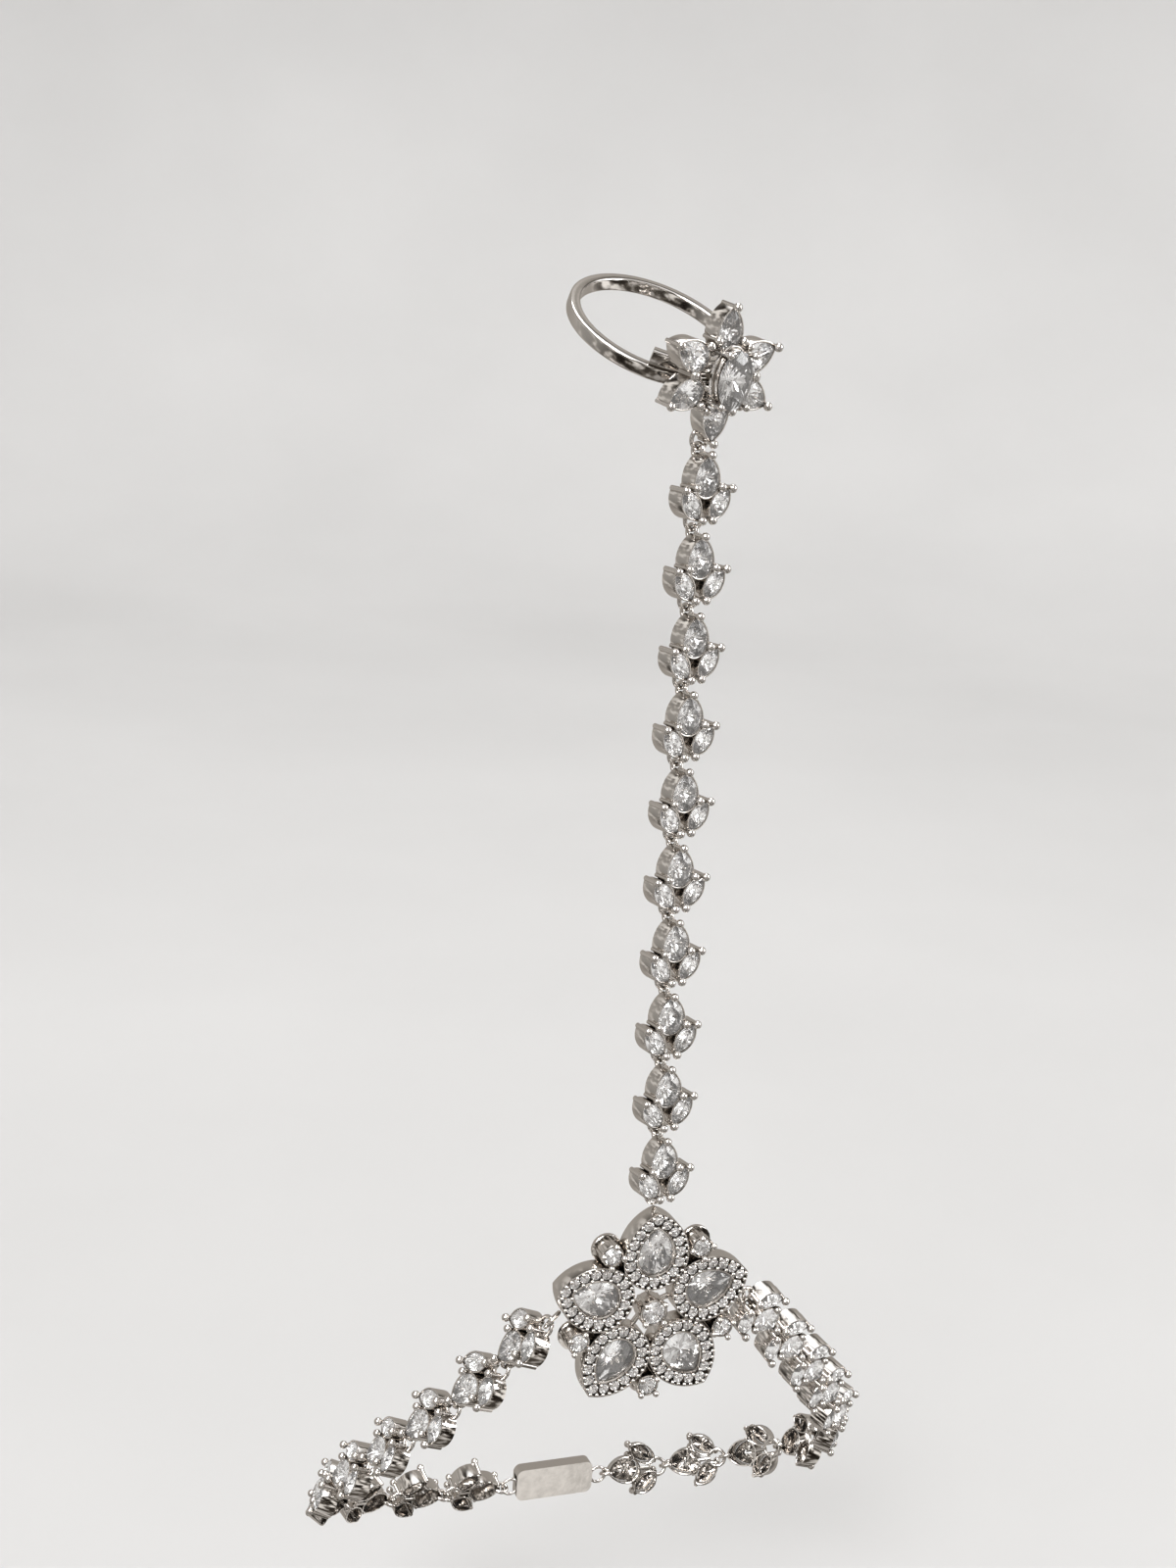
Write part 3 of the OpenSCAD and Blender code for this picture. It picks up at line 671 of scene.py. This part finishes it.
def polished_metal():
    """Bright rhodium over cast metal: faint ripple, uneven polish, and painted shade that darkens its colour
    in the crevices.
    """
    mat, tree, shader = new_material("polished_rhodium")
    place = tree.nodes.new("ShaderNodeTexCoord")
    cloudy = add_node(tree, "ShaderNodeTexNoise", Scale=900.0, Detail=3.0)
    tree.links.new(place.outputs["Object"], cloudy.inputs["Vector"])
    ripple = add_node(tree, "ShaderNodeTexNoise", Scale=1500.0, Detail=1.0)
    tree.links.new(place.outputs["Object"], ripple.inputs["Vector"])
    # Painted shade: ambient occlusion darkens the base colour in crevices and recesses, where shade falls.
    crevice_shade = add_node(tree, "ShaderNodeAmbientOcclusion", Distance=0.001)
    tint = ramp(tree, crevice_shade.outputs["AO"], (
        (0.1, grey(0.26, 0.03)), (0.5, grey(0.55, 0.032)), (0.9, grey(0.80, 0.028))))
    tree.links.new(tint.outputs["Color"], shader.inputs["Base Color"])
    gloss = ramp(tree, cloudy.outputs["Fac"], ((0.3, grey(0.05)), (0.7, grey(0.13))))
    tree.links.new(gloss.outputs["Color"], shader.inputs["Roughness"])
    bump = add_node(tree, "ShaderNodeBump", Strength=0.05, Distance=0.00005)
    tree.links.new(ripple.outputs["Fac"], bump.inputs["Height"])
    tree.links.new(bump.outputs["Normal"], shader.inputs["Normal"])
    shader.inputs["Metallic"].default_value = 1.0
    return mat


def clear_stone(name, painted_glow):
    """Clear stone: a glossy clear crown over mirror facets, each facet lighter or darker by painted
    reflection, with a faint painted glow from emission.
    """
    mat, tree, shader = new_material(name)
    painted_sparkle = tree.nodes.new("ShaderNodeAttribute")
    painted_sparkle.attribute_name = "painted_sparkle"
    under = tree.nodes.new("ShaderNodeAttribute")
    under.attribute_name = "under"
    # Painted reflection: each facet's random value makes its colour lighter or darker, for the bright and dark
    # sparkle of a cut stone.
    deep = ramp(tree, painted_sparkle.outputs["Fac"], (
        (0.0, grey(0.5, 0.012)), (0.3, grey(0.88, 0.01)), (0.5, grey(1.0)), (1.0, grey(1.0))))
    clear = ramp(tree, painted_sparkle.outputs["Fac"], ((0.0, grey(0.86)), (0.4, grey(1.0))))
    pick = tree.nodes.new("ShaderNodeMix")
    pick.data_type = "RGBA"
    tree.links.new(under.outputs["Fac"], pick.inputs["Factor"])
    tree.links.new(clear.outputs["Color"], pick.inputs["A"])
    tree.links.new(deep.outputs["Color"], pick.inputs["B"])
    tree.links.new(pick.outputs["Result"], shader.inputs["Base Color"])
    tree.links.new(under.outputs["Fac"], shader.inputs["Metallic"])
    shader.inputs["Roughness"].default_value = 0.02
    shader.inputs["IOR"].default_value = 1.75
    shader.inputs["Transmission Weight"].default_value = 0.94
    # Painted light: a faint warm emission makes the stones glow, though they are no lamps.
    shader.inputs["Emission Color"].default_value = (1.0, 0.95, 0.91, 1)
    shader.inputs["Emission Strength"].default_value = painted_glow
    return mat


METAL = polished_metal()
# Painted glow: the small stones get more emission than the larger ones.
STONE = clear_stone("clear_stone", 0.016)
SMALL_STONE = clear_stone("small_clear_stone", 0.04)


def finish_piece(obj, material, nodes):
    """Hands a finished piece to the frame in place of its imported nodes."""
    obj.data.materials.clear()
    obj.data.materials.append(material)
    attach(obj, "root")
    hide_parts(*nodes)
    return obj


def in_frame(obj, pose):
    """Takes a piece made in millimetres to its place in the frame."""
    obj.data.transform(pose)
    obj.data.update()
    return obj


def joined(name, parts):
    """One piece from several."""
    mesh = bpy.data.meshes.new(name)
    bm = bmesh.new()
    for part in parts:
        bm.from_mesh(part.data)
        bpy.data.objects.remove(part)
    bm.to_mesh(mesh)
    bm.free()
    obj = bpy.data.objects.new(name, mesh)
    bpy.context.scene.collection.objects.link(obj)
    return obj


# Links
def spin(degrees):
    """A turn round the local z axis."""
    return Matrix.Rotation(math.radians(degrees), 4, "Z")


def marquise_places():
    """Middles of a link's two marquises, tips outward."""
    return [Matrix.Translation((side * ROOT_GAP / 2, ROOT_Y, 0)) @ spin(-side * SPLAY)
            @ Matrix.Translation((0, MARQUISE_REACH, 0)) for side in (-1, 1)]


def pear_cup(bm, width, length, at, tip_from):
    """Pear cup with a prong at its tip and one at each side."""
    def line(grow):
        return pear_line(width, length, grow, count=48)
    r, h = width / 2, length - width / 2
    reach = r + PRONG_REACH
    a = math.radians(SIDE_PRONG_ANGLE)
    top = GIRDLE_Z + BALL_RISE
    wall(bm, line, STONE_GAP, STONE_GAP + CUP_WALL, BACK, GIRDLE_Z + CUP_RISE, at)
    prong(bm, 0, h + PRONG_REACH, tip_from, top, at)
    for side in (-1, 1):
        prong(bm, side * reach * math.cos(a), reach * math.sin(a), BACK, top, at)


def fill_link(bm):
    """One link's setting from its own joint at the origin to the next joint along +y."""
    tube_ring(bm, EYE_R, Matrix.Translation((0, EYE_R, 0)))
    stand = Matrix.Translation((0, LINK_PITCH - LOOP_LEAD, 0)) @ Matrix.Rotation(math.pi / 2, 4, "Y")
    tube_ring(bm, LOOP_R, stand)
    pear_cup(bm, PEAR_W, PEAR_L, Matrix.Translation((0, PEAR_Y, 0)), 2 * WIRE_R)

    def line(grow):
        return marquise_line(MARQUISE_W, MARQUISE_L, grow, count=40)
    for place in marquise_places():
        wall(bm, line, STONE_GAP, STONE_GAP + CUP_WALL, BACK, GIRDLE_Z + CUP_RISE, place)
        prong(bm, 0, MARQUISE_REACH, MARQUISE_FOOT, GIRDLE_Z + BALL_RISE, place, post=POST_R)
        prong(bm, 0, -MARQUISE_REACH, 2 * WIRE_R, GIRDLE_Z + BALL_RISE, place)
    rounded_bar(bm, BAR_W, BAR_W, 2 * EYE_R - WIRE_R, PEAR_Y - PEAR_W / 2, BACK, IN_PLACE)


def fill_link_stones(bm):
    """The pear and the two marquises of a link."""
    pear_gem(bm, PEAR_W, PEAR_L, GIRDLE_Z, Matrix.Translation((0, PEAR_Y, 0)))
    for place in marquise_places():
        marquise_gem(bm, GIRDLE_Z, place)


def make_chain(prefix, stones_node, setting, stones):
    """All links of a chain or strand, and all their stones."""
    poses = link_poses(prefix, stones_node, LINKS)
    metal = repeated(f"{prefix}_links", setting, poses, METAL, MM)
    finish_piece(metal, METAL, [f"{prefix}_link_{k:02d}" for k in range(1, LINKS + 1)])
    gems = repeated(f"{prefix}_link_stones", stones, poses, STONE, MM)
    finish_piece(gems, STONE, [stones_node])


# Medallion
def petal_places():
    """Middles of the petals, tips outward."""
    return [spin(360 * k / PETALS) @ Matrix.Translation((0, PETAL_R, 0)) for k in range(PETALS)]


def accent_places():
    """Middles of the small cups, halfway between the petals."""
    return [spin(360 * (k + 0.5) / PETALS) @ Matrix.Translation((0, ACCENT_R, 0)) for k in range(PETALS)]


def petal_outline(grow):
    """The outline of a petal's stone, moved outward."""
    return pear_line(PETAL_W, PETAL_L, grow, count=72)


def round_cup(bm, d, at, thick, foot, girdle, ball):
    """Round cup with four prongs."""
    def line(grow):
        return round_line(d / 2 + grow, count=40)
    wall(bm, line, STONE_GAP, STONE_GAP + thick, foot, girdle + ROUND_RISE, at)
    reach = d / 2 + STONE_GAP + ROUND_POST_R + ROUND_STAND
    for k in range(4):
        a = math.radians(45 + 90 * k)
        prong(bm, reach * math.cos(a), reach * math.sin(a), foot, girdle + ball * ROUND_BALL_RISE, at,
              ROUND_POST_R, ball)


def fill_medallion(bm):
    """Petals with collar, rim and plate, small cups on round bases, struts and the centre cup."""
    for place in petal_places():
        wall(bm, petal_outline, STONE_GAP, COLLAR_OUT, BACK, PETAL_STONE_Z + COLLAR_RISE, place)
        wall(bm, petal_outline, RIM_IN, RIM_OUT, BACK, GIRDLE_Z + RIM_RISE, place)
        wall(bm, petal_outline, PLATE_IN, PLATE_OUT, PLATE_LOW, PLATE_TOP, place, lip=0.02)
    base = [(0, BACK), (ACCENT_BASE_R - LIP, BACK), (ACCENT_BASE_R, BACK + LIP),
            (ACCENT_BASE_R, ACCENT_BASE_TOP - LIP), (ACCENT_BASE_R - LIP, ACCENT_BASE_TOP),
            (0, ACCENT_BASE_TOP)]
    for place in accent_places():
        round_cup(bm, ACCENT_D, place, thick=0.25, foot=0.2, girdle=ACCENT_Z, ball=0.37)
        rod(bm, base, place, sides=40)
    for k in range(PETALS):
        rounded_bar(bm, STRUT_W, STRUT_T, HEART_D / 2 + STRUT_IN,
                    PETAL_R - PETAL_W / 2 - RIM_OUT + STRUT_SUNK, BACK, spin(360 * k / PETALS))
    round_cup(bm, HEART_D, IN_PLACE, thick=0.3, foot=0.1, girdle=HEART_Z, ball=0.38)


# Steps of the search for a wire ring's axis, in degrees, and the points that it skips
AXIS_STEP = 3
POINT_SKIP = 7


def ring_axis(node):
    """Middle and axis of a packed wire ring, from the spread of its points."""
    points = [v.co.copy() for v in frame["nodes"][node].data.vertices]
    low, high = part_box(node)
    middle = (Vector(low) + Vector(high)) / 2
    best = None
    for i in range(0, 180, AXIS_STEP):
        for j in range(0, 180, AXIS_STEP):
            a, b = math.radians(i), math.radians(j)
            axis = Vector((math.sin(a) * math.cos(b), math.sin(a) * math.sin(b), math.cos(a)))
            spread = max(abs((p - middle).dot(axis)) for p in points[::POINT_SKIP])
            if best is None or spread < best[0]:
                best = (spread, axis)
    return middle, best[1]


def make_jump_ring(side):
    """The wire ring between a strand and the clasp."""
    node = f"{side}_jump_ring"
    middle, axis = ring_axis(node)
    turn = axis.to_track_quat("Z", "Y").to_matrix().to_4x4()
    pose = Matrix.Translation(middle) @ turn @ Matrix.Scale(MM, 4)

    def fill(bm):
        tube_ring(bm, JUMP_R, IN_PLACE, around=48, sides=16)
    obj = new_mesh(f"{side}_wire_ring", fill)
    finish_piece(in_frame(obj, pose), METAL, [node])


# Ring
def leaf_places():
    """Middles of the head's leaves, tips outward."""
    return [spin(a - 90) @ Matrix.Translation((0, LEAF_R, 0)) for a in LEAF_ANGLES]


def band_point(angle):
    """Place of the band along the finger at an angle, as it passes from one plane to the other."""
    if angle <= JOG_FROM:
        return BAND_STEP / 2
    if angle >= JOG_TO:
        return -BAND_STEP / 2
    share = (angle - JOG_FROM) / (JOG_TO - JOG_FROM)
    ease = share * share * (3 - 2 * share)
    return BAND_STEP * (0.5 - ease)


def fill_band(bm):
    """The open band, from its loose end under the head round the finger to the saddle."""
    middle_r = BORE_R + BAND_T / 2
    section = []
    for i in range(BAND_SIDES):
        c, s = math.cos(2 * math.pi * i / BAND_SIDES), math.sin(2 * math.pi * i / BAND_SIDES)
        section.append((BAND_T / 2 * math.copysign(abs(c) ** BAND_SQUARE, c),
                        BAND_W / 2 * math.copysign(abs(s) ** BAND_SQUARE, s)))
    rings = []
    for i in range(BAND_STEPS + 1):
        angle = -BAND_END + (BAND_TURN + BAND_END) * i / BAND_STEPS
        y = band_point(angle)
        a = math.radians(angle)
        rings.append([((middle_r + u) * math.sin(a), y + v, (middle_r + u) * math.cos(a))
                      for u, v in section])
    ends = loft(bm, rings, IN_PLACE)
    cap(bm, ends[0], True)
    cap(bm, ends[-1], False)


def fill_head(bm):
    """Six leaf cups round the oval's basket with its four claws, on a round base with an eye."""
    for place in leaf_places():
        pear_cup(bm, LEAF_W, LEAF_L, place, BACK)

    def oval(grow):
        return oval_line(OVAL_W, OVAL_L, grow, count=56)

    def base(grow):
        return round_line(grow, count=48)
    wall(bm, base, BASE_IN, BASE_OUT, BACK, BASE_TOP, IN_PLACE)
    for inner, outer, foot, top in RAILS:
        wall(bm, oval, inner, outer, OVAL_H - foot, OVAL_H - top, IN_PLACE)
    # The claws stand on the oval's outline, halfway between the upper leaves and between the lower ones
    angle = math.radians((LEAF_ANGLES[0] + LEAF_ANGLES[1]) / 2)
    reach = 1 / math.hypot(2 * math.cos(angle) / OVAL_W, 2 * math.sin(angle) / OVAL_L) + CLAW_OUT
    for sx in (-1, 1):
        for sy in (-1, 1):
            prong(bm, sx * reach * math.cos(angle), sy * reach * math.sin(angle), BACK, OVAL_H + CLAW_RISE,
                  IN_PLACE, CLAW_R, CLAW_BALL_R)
    leaf_end = LEAF_R + LEAF_L - LEAF_W / 2 + PRONG_REACH + HEAD_EYE_GAP
    eye_y = -leaf_end - JOINT_PLAY - (LOOP_R + WIRE_R - LOOP_LEAD) + EYE_R
    tube_ring(bm, EYE_R, Matrix.Translation((0, eye_y, 0)))


def fill_saddle(bm):
    """Block between the band and the head's base, in the bore's frame."""
    low = -BAND_STEP / 2 - BAND_W / 2 + SADDLE_IN
    high = -BAND_STEP / 2 + BAND_W / 2 - SADDLE_IN
    bottom = BORE_R + SADDLE_LOW
    top = BORE_R + BAND_T + SADDLE_RISE
    fall = (high - low) * math.tan(math.radians(SADDLE_TILT))
    corners = ((low, bottom), (high, bottom), (high, top - fall), (low, top))
    sides = [[(x, y, z) for y, z in corners] for x in (SADDLE_HALF, -SADDLE_HALF)]
    rows = loft(bm, sides, IN_PLACE)
    cap(bm, rows[0], False)
    cap(bm, rows[1], True)


# Clasp
def make_clasp():
    """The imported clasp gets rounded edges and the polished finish."""
    source = frame["nodes"]["clasp"]
    bm = bmesh.new()
    bm.from_mesh(source.data)
    bmesh.ops.remove_doubles(bm, verts=bm.verts, dist=1e-6)
    bmesh.ops.dissolve_limit(bm, angle_limit=math.radians(2), verts=bm.verts, edges=bm.edges)
    long_edges = [edge for edge in bm.edges if edge.calc_length() > CLASP_EDGE * MM
                  and len(edge.link_faces) == 2 and edge.calc_face_angle() > math.radians(50)]
    bmesh.ops.bevel(bm, geom=long_edges, offset=CLASP_ROUND * MM, segments=4, profile=0.5, affect="EDGES")
    mesh = bpy.data.meshes.new("clasp_body")
    bm.to_mesh(mesh)
    bm.free()
    mesh.set_sharp_from_angle(angle=math.radians(30))
    for face in mesh.polygons:
        face.use_smooth = True
    obj = bpy.data.objects.new("clasp_body", mesh)
    bpy.context.scene.collection.objects.link(obj)
    finish_piece(obj, METAL, ["clasp"])


# Camera: its lens and its place in millimetres, and the ways that its right side, its top and its back face
CAMERA_LENS = 49.5
CAMERA_AT = (-92.6, -227.2, 138.6)
CAMERA_TURN = ((0.940, -0.335, 0.063), (0.022, 0.245, 0.969), (-0.340, -0.910, 0.238))

# Floor: how far it lies under the part, its flat radius, the radius of its bend and the backdrop's height
FLOOR_DROP = 0.03
FLOOR_R = 0.9
BEND_R = 0.5
BACKDROP_H = 1.6

# Soft lamps: place, size and power
LAMPS = (
    ("key", (-0.55, -0.75, 0.75), 0.3, 6),
    ("fill", (0.75, -0.45, 0.35), 0.45, 2),
    ("top", (0.1, 0.25, 0.95), 0.4, 3),
)


def make_camera():
    """The camera that takes the photograph's view."""
    camera = bpy.data.cameras.new("camera")
    camera.sensor_fit = "VERTICAL"
    camera.sensor_height = 36
    camera.lens = CAMERA_LENS
    camera.clip_start = 0.01
    camera.clip_end = 20
    obj = bpy.data.objects.new("camera", camera)
    turn = Matrix(CAMERA_TURN).transposed().to_quaternion().to_matrix().to_4x4()
    obj.matrix_world = Matrix.Translation(Vector(CAMERA_AT) * MM) @ turn
    bpy.context.scene.collection.objects.link(obj)
    bpy.context.scene.camera = obj


def make_floor():
    """A plain pale floor that curves up all round into a backdrop."""
    low = CAD_BOX[0][2] - FLOOR_DROP
    profile = [(0.0, low), (0.5, low), (FLOOR_R, low)]
    profile += [(FLOOR_R + BEND_R * math.sin(a), low + BEND_R - BEND_R * math.cos(a))
                for a in (math.pi / 2 * i / 10 for i in range(1, 11))]
    profile += [(FLOOR_R + BEND_R, low + BACKDROP_H)]
    around = 96
    verts, faces = [(0, 0, low)], []
    for r, z in profile[1:]:
        verts += [(r * math.cos(2 * math.pi * k / around), r * math.sin(2 * math.pi * k / around), z)
                  for k in range(around)]
    for k in range(around):
        n = (k + 1) % around
        faces.append((0, 1 + k, 1 + n))
        for row in range(len(profile) - 2):
            a, b = 1 + row * around, 1 + (row + 1) * around
            faces.append((a + n, a + k, b + k, b + n))
    mesh = bpy.data.meshes.new("floor")
    mesh.from_pydata(verts, [], faces)
    mesh.shade_smooth()
    mat, tree, shader = new_material("pale_floor")
    place = tree.nodes.new("ShaderNodeTexCoord")
    grain = add_node(tree, "ShaderNodeTexNoise", Scale=6.0, Detail=4.0)
    tree.links.new(place.outputs["Object"], grain.inputs["Vector"])
    tint = ramp(tree, grain.outputs["Fac"], ((0.3, grey(0.515, 0.004)), (0.7, grey(0.545, 0.004))))
    tree.links.new(tint.outputs["Color"], shader.inputs["Base Color"])
    shader.inputs["Roughness"].default_value = 0.7
    mesh.materials.append(mat)
    obj = bpy.data.objects.new("floor", mesh)
    obj.visible_glossy = False
    obj.visible_transmission = True
    obj.visible_shadow = False
    bpy.context.scene.collection.objects.link(obj)


def area_light(name, place, target, size, power):
    """A round soft lamp that points at a target."""
    light = bpy.data.lights.new(name, "AREA")
    light.shape = "DISK"
    light.size = size
    light.energy = power
    obj = bpy.data.objects.new(name, light)
    obj.location = place
    obj.rotation_euler = (Vector(target) - Vector(place)).to_track_quat("-Z", "Y").to_euler()
    bpy.context.scene.collection.objects.link(obj)


# Pale and dark screens of the studio: way to each, where its edge begins and ends, and its light
SCREENS = (
    ((0.15, 1.0, -0.1), 0.25, 0.7, (0.38, 0.355, 0.325, 1)),
    ((-1.0, 0.35, 0.1), 0.55, 1.25, (0.50, 0.48, 0.45, 1)),
    ((0.0, -0.35, -1.0), 0.60, 1.2, (0.10, 0.088, 0.075, 1)),
    ((-0.5, -0.55, 0.75), 0.90, 0.95, (4.5, 4.5, 4.5, 1)),
    ((0.9, -0.3, 0.5), 0.93, 0.97, (2.4, 2.4, 2.45, 1)),
    ((0.1, 0.1, 1.0), 0.86, 0.94, (1.3, 1.3, 1.3, 1)),
)


def facing(tree, direction, way, low, high):
    """Smooth step of how nearly a direction of the sky faces a given way."""
    dot = tree.nodes.new("ShaderNodeVectorMath")
    dot.operation = "DOT_PRODUCT"
    tree.links.new(direction, dot.inputs[0])
    dot.inputs[1].default_value = Vector(way).normalized()
    step = tree.nodes.new("ShaderNodeMapRange")
    step.interpolation_type = "SMOOTHSTEP"
    step.inputs["From Min"].default_value = low
    step.inputs["From Max"].default_value = high
    tree.links.new(dot.outputs["Value"], step.inputs["Value"])
    return step.outputs["Result"]


def make_light():
    """Soft studio light: a dim room with pale screens that the metal reflects, and three soft lamps."""
    world = bpy.data.worlds.new("studio")
    bpy.context.scene.world = world
    world.use_nodes = True
    tree = world.node_tree
    back = tree.nodes["Background"]
    direction = tree.nodes.new("ShaderNodeTexCoord").outputs["Generated"]
    clutter = add_node(tree, "ShaderNodeTexNoise", Scale=4.2, Detail=2.0, Roughness=0.5)
    tree.links.new(direction, clutter.inputs["Vector"])
    tint = ramp(tree, clutter.outputs["Fac"], (
        (0.435, (0.016, 0.012, 0.009, 1)), (0.495, (0.18, 0.16, 0.138, 1)), (0.585, (1.0, 0.97, 0.93, 1))))
    colour = tint.outputs["Color"]
    for way, low, high, shade in SCREENS:
        screen = facing(tree, direction, way, low, high)
        layer = tree.nodes.new("ShaderNodeMix")
        layer.data_type = "RGBA"
        tree.links.new(screen, layer.inputs["Factor"])
        tree.links.new(colour, layer.inputs["A"])
        layer.inputs["B"].default_value = shade
        colour = layer.outputs["Result"]
    tree.links.new(colour, back.inputs["Color"])
    middle = (Vector(CAD_BOX[0]) + Vector(CAD_BOX[1])) / 2
    for name, place, size, power in LAMPS:
        area_light(name, place, middle, size, power)
    view = bpy.context.scene.view_settings
    view.view_transform = "Standard"
    view.gamma = 0.93


# Stones of the ring and the medallion
def fill_oval_stone(bm):
    """The large oval in the middle of the ring's head."""
    line = oval_line(OVAL_W, OVAL_L, 0.02, CORNERS)
    faceted(bm, line, (0, 0), Matrix.Translation((0, 0, OVAL_H)), table=0.56, crown=0.7, pavilion=1.75)


def fill_leaf_stones(bm):
    """The six pears of the ring's head."""
    for place in leaf_places():
        pear_gem(bm, LEAF_W, LEAF_L, GIRDLE_Z, place)


def fill_petal_stones(bm):
    """The pear in each petal of the medallion."""
    for place in petal_places():
        pear_gem(bm, PETAL_W, PETAL_L, PETAL_STONE_Z, place)


def fill_heart_stone(bm):
    """The round stone in the middle of the medallion."""
    line = round_line(HEART_D / 2 + 0.06, CORNERS)
    faceted(bm, line, (0, 0), Matrix.Translation((0, 0, HEART_Z)), crown=0.5, pavilion=1.1)


def fill_accent_stones(bm):
    """The round stones between the petals."""
    line = round_line(ACCENT_D / 2 + 0.06, CORNERS)
    for place in accent_places():
        faceted(bm, line, (0, 0), place @ Matrix.Translation((0, 0, ACCENT_Z)), crown=0.42, pavilion=0.9)


def fill_small_stone(bm):
    """One of the small stones that are set in a row round each petal."""
    line = round_line(HALO_D / 2 + 0.03, CORNERS)
    faceted(bm, line, (0, 0), IN_PLACE, crown=0.26, pavilion=0.5, girdle=0.03)


def fill_bead(bm):
    """A bead of radius 1 on a stalk that reaches down to the plate."""
    dome = [(math.cos(a), math.sin(a)) for a in (-1.1 + 2.5 * i / 6 for i in range(7))]
    rod(bm, [(0, STALK_FOOT), (STALK_R, STALK_FOOT)] + dome + [(0, 1.0)], IN_PLACE, sides=10)


def make_stones(name, fill, pose, seed, nodes):
    """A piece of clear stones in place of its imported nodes."""
    finish_piece(in_frame(stone_object(name, fill, seed), pose), STONE, nodes)


def make_medallion(pose):
    """The medallion's metal with its rows of beads, and the small stones between the rows."""
    small_stone = stone_object("small_stone_part", fill_small_stone, seed=21)
    bead = new_mesh("bead_part", fill_bead, sharp=0)
    # The beads begin half a step from the first small stone, so they stand between the stones
    half_step = ROW_POINTS // HALO_COUNT // 2
    halos, beads = [], []
    for k, place in enumerate(petal_places()):
        def row(grow, z):
            return [place @ Vector((x, y, z)) for x, y in pear_line(PETAL_W, PETAL_L, grow, ROW_POINTS)]
        middle_row = row((COLLAR_OUT + GROOVE_OUT) / 2, GIRDLE_Z)
        halos.append(round_line_of(f"halo_{k}", middle_row, small_stone, HALO_COUNT, SMALL_STONE))
        for j, (grow, count) in enumerate(BEAD_ROWS):
            line = row(grow, GIRDLE_Z + BEAD_RISE)
            line = line[half_step:] + line[:half_step]
            beads.append(round_line_of(f"beads_{k}_{j}", line, bead, count, METAL, HALO_BEAD_R))
    halo = in_frame(joined("halo_stones", halos), pose)
    finish_piece(halo, SMALL_STONE, ["medallion_halo_stones"])
    body = new_mesh("medallion_body", fill_medallion)
    metal = in_frame(joined("medallion", [body, joined("bead_rows", beads)]), pose)
    finish_piece(metal, METAL, ["medallion_setting"])
    bpy.data.objects.remove(small_stone)
    bpy.data.objects.remove(bead)


def make_ring(head_at, bore_at):
    """The finger ring's metal: head, band and saddle are soldered."""
    head = in_frame(new_mesh("ring_head", fill_head), head_at)
    band = in_frame(new_mesh("ring_hoop", fill_band, sharp=50), bore_at)
    saddle = in_frame(new_mesh("ring_saddle", fill_saddle), bore_at)
    finish_piece(joined("finger_ring", [head, band, saddle]), METAL, ["ring_band"])


# Making
make_camera()
make_floor()
make_light()

link_setting = new_mesh("link_setting_part", fill_link)
link_stones = stone_object("link_stones_part", fill_link_stones, seed=3)
for prefix, stones_node in CHAINS:
    make_chain(prefix, stones_node, link_setting, link_stones)
bpy.data.objects.remove(link_setting)
bpy.data.objects.remove(link_stones)

MEDALLION = medallion_pose()
HEAD = head_pose()
make_ring(HEAD, bore_pose(HEAD))
make_stones("oval_stone", fill_oval_stone, HEAD, 11, ["ring_oval_stone"])
make_stones("leaf_stones", fill_leaf_stones, HEAD, 12, [f"ring_pear_{k}" for k in range(1, 7)])
make_stones("petal_stones", fill_petal_stones, MEDALLION, 13, [f"medallion_pear_{k}" for k in range(1, 6)])
make_stones("heart_stone", fill_heart_stone, MEDALLION, 14, ["medallion_centre_stone"])
make_stones("accent_stones", fill_accent_stones, MEDALLION, 15, ["medallion_accent_stones"])
make_medallion(MEDALLION)

make_jump_ring("left")
make_jump_ring("right")
make_clasp()
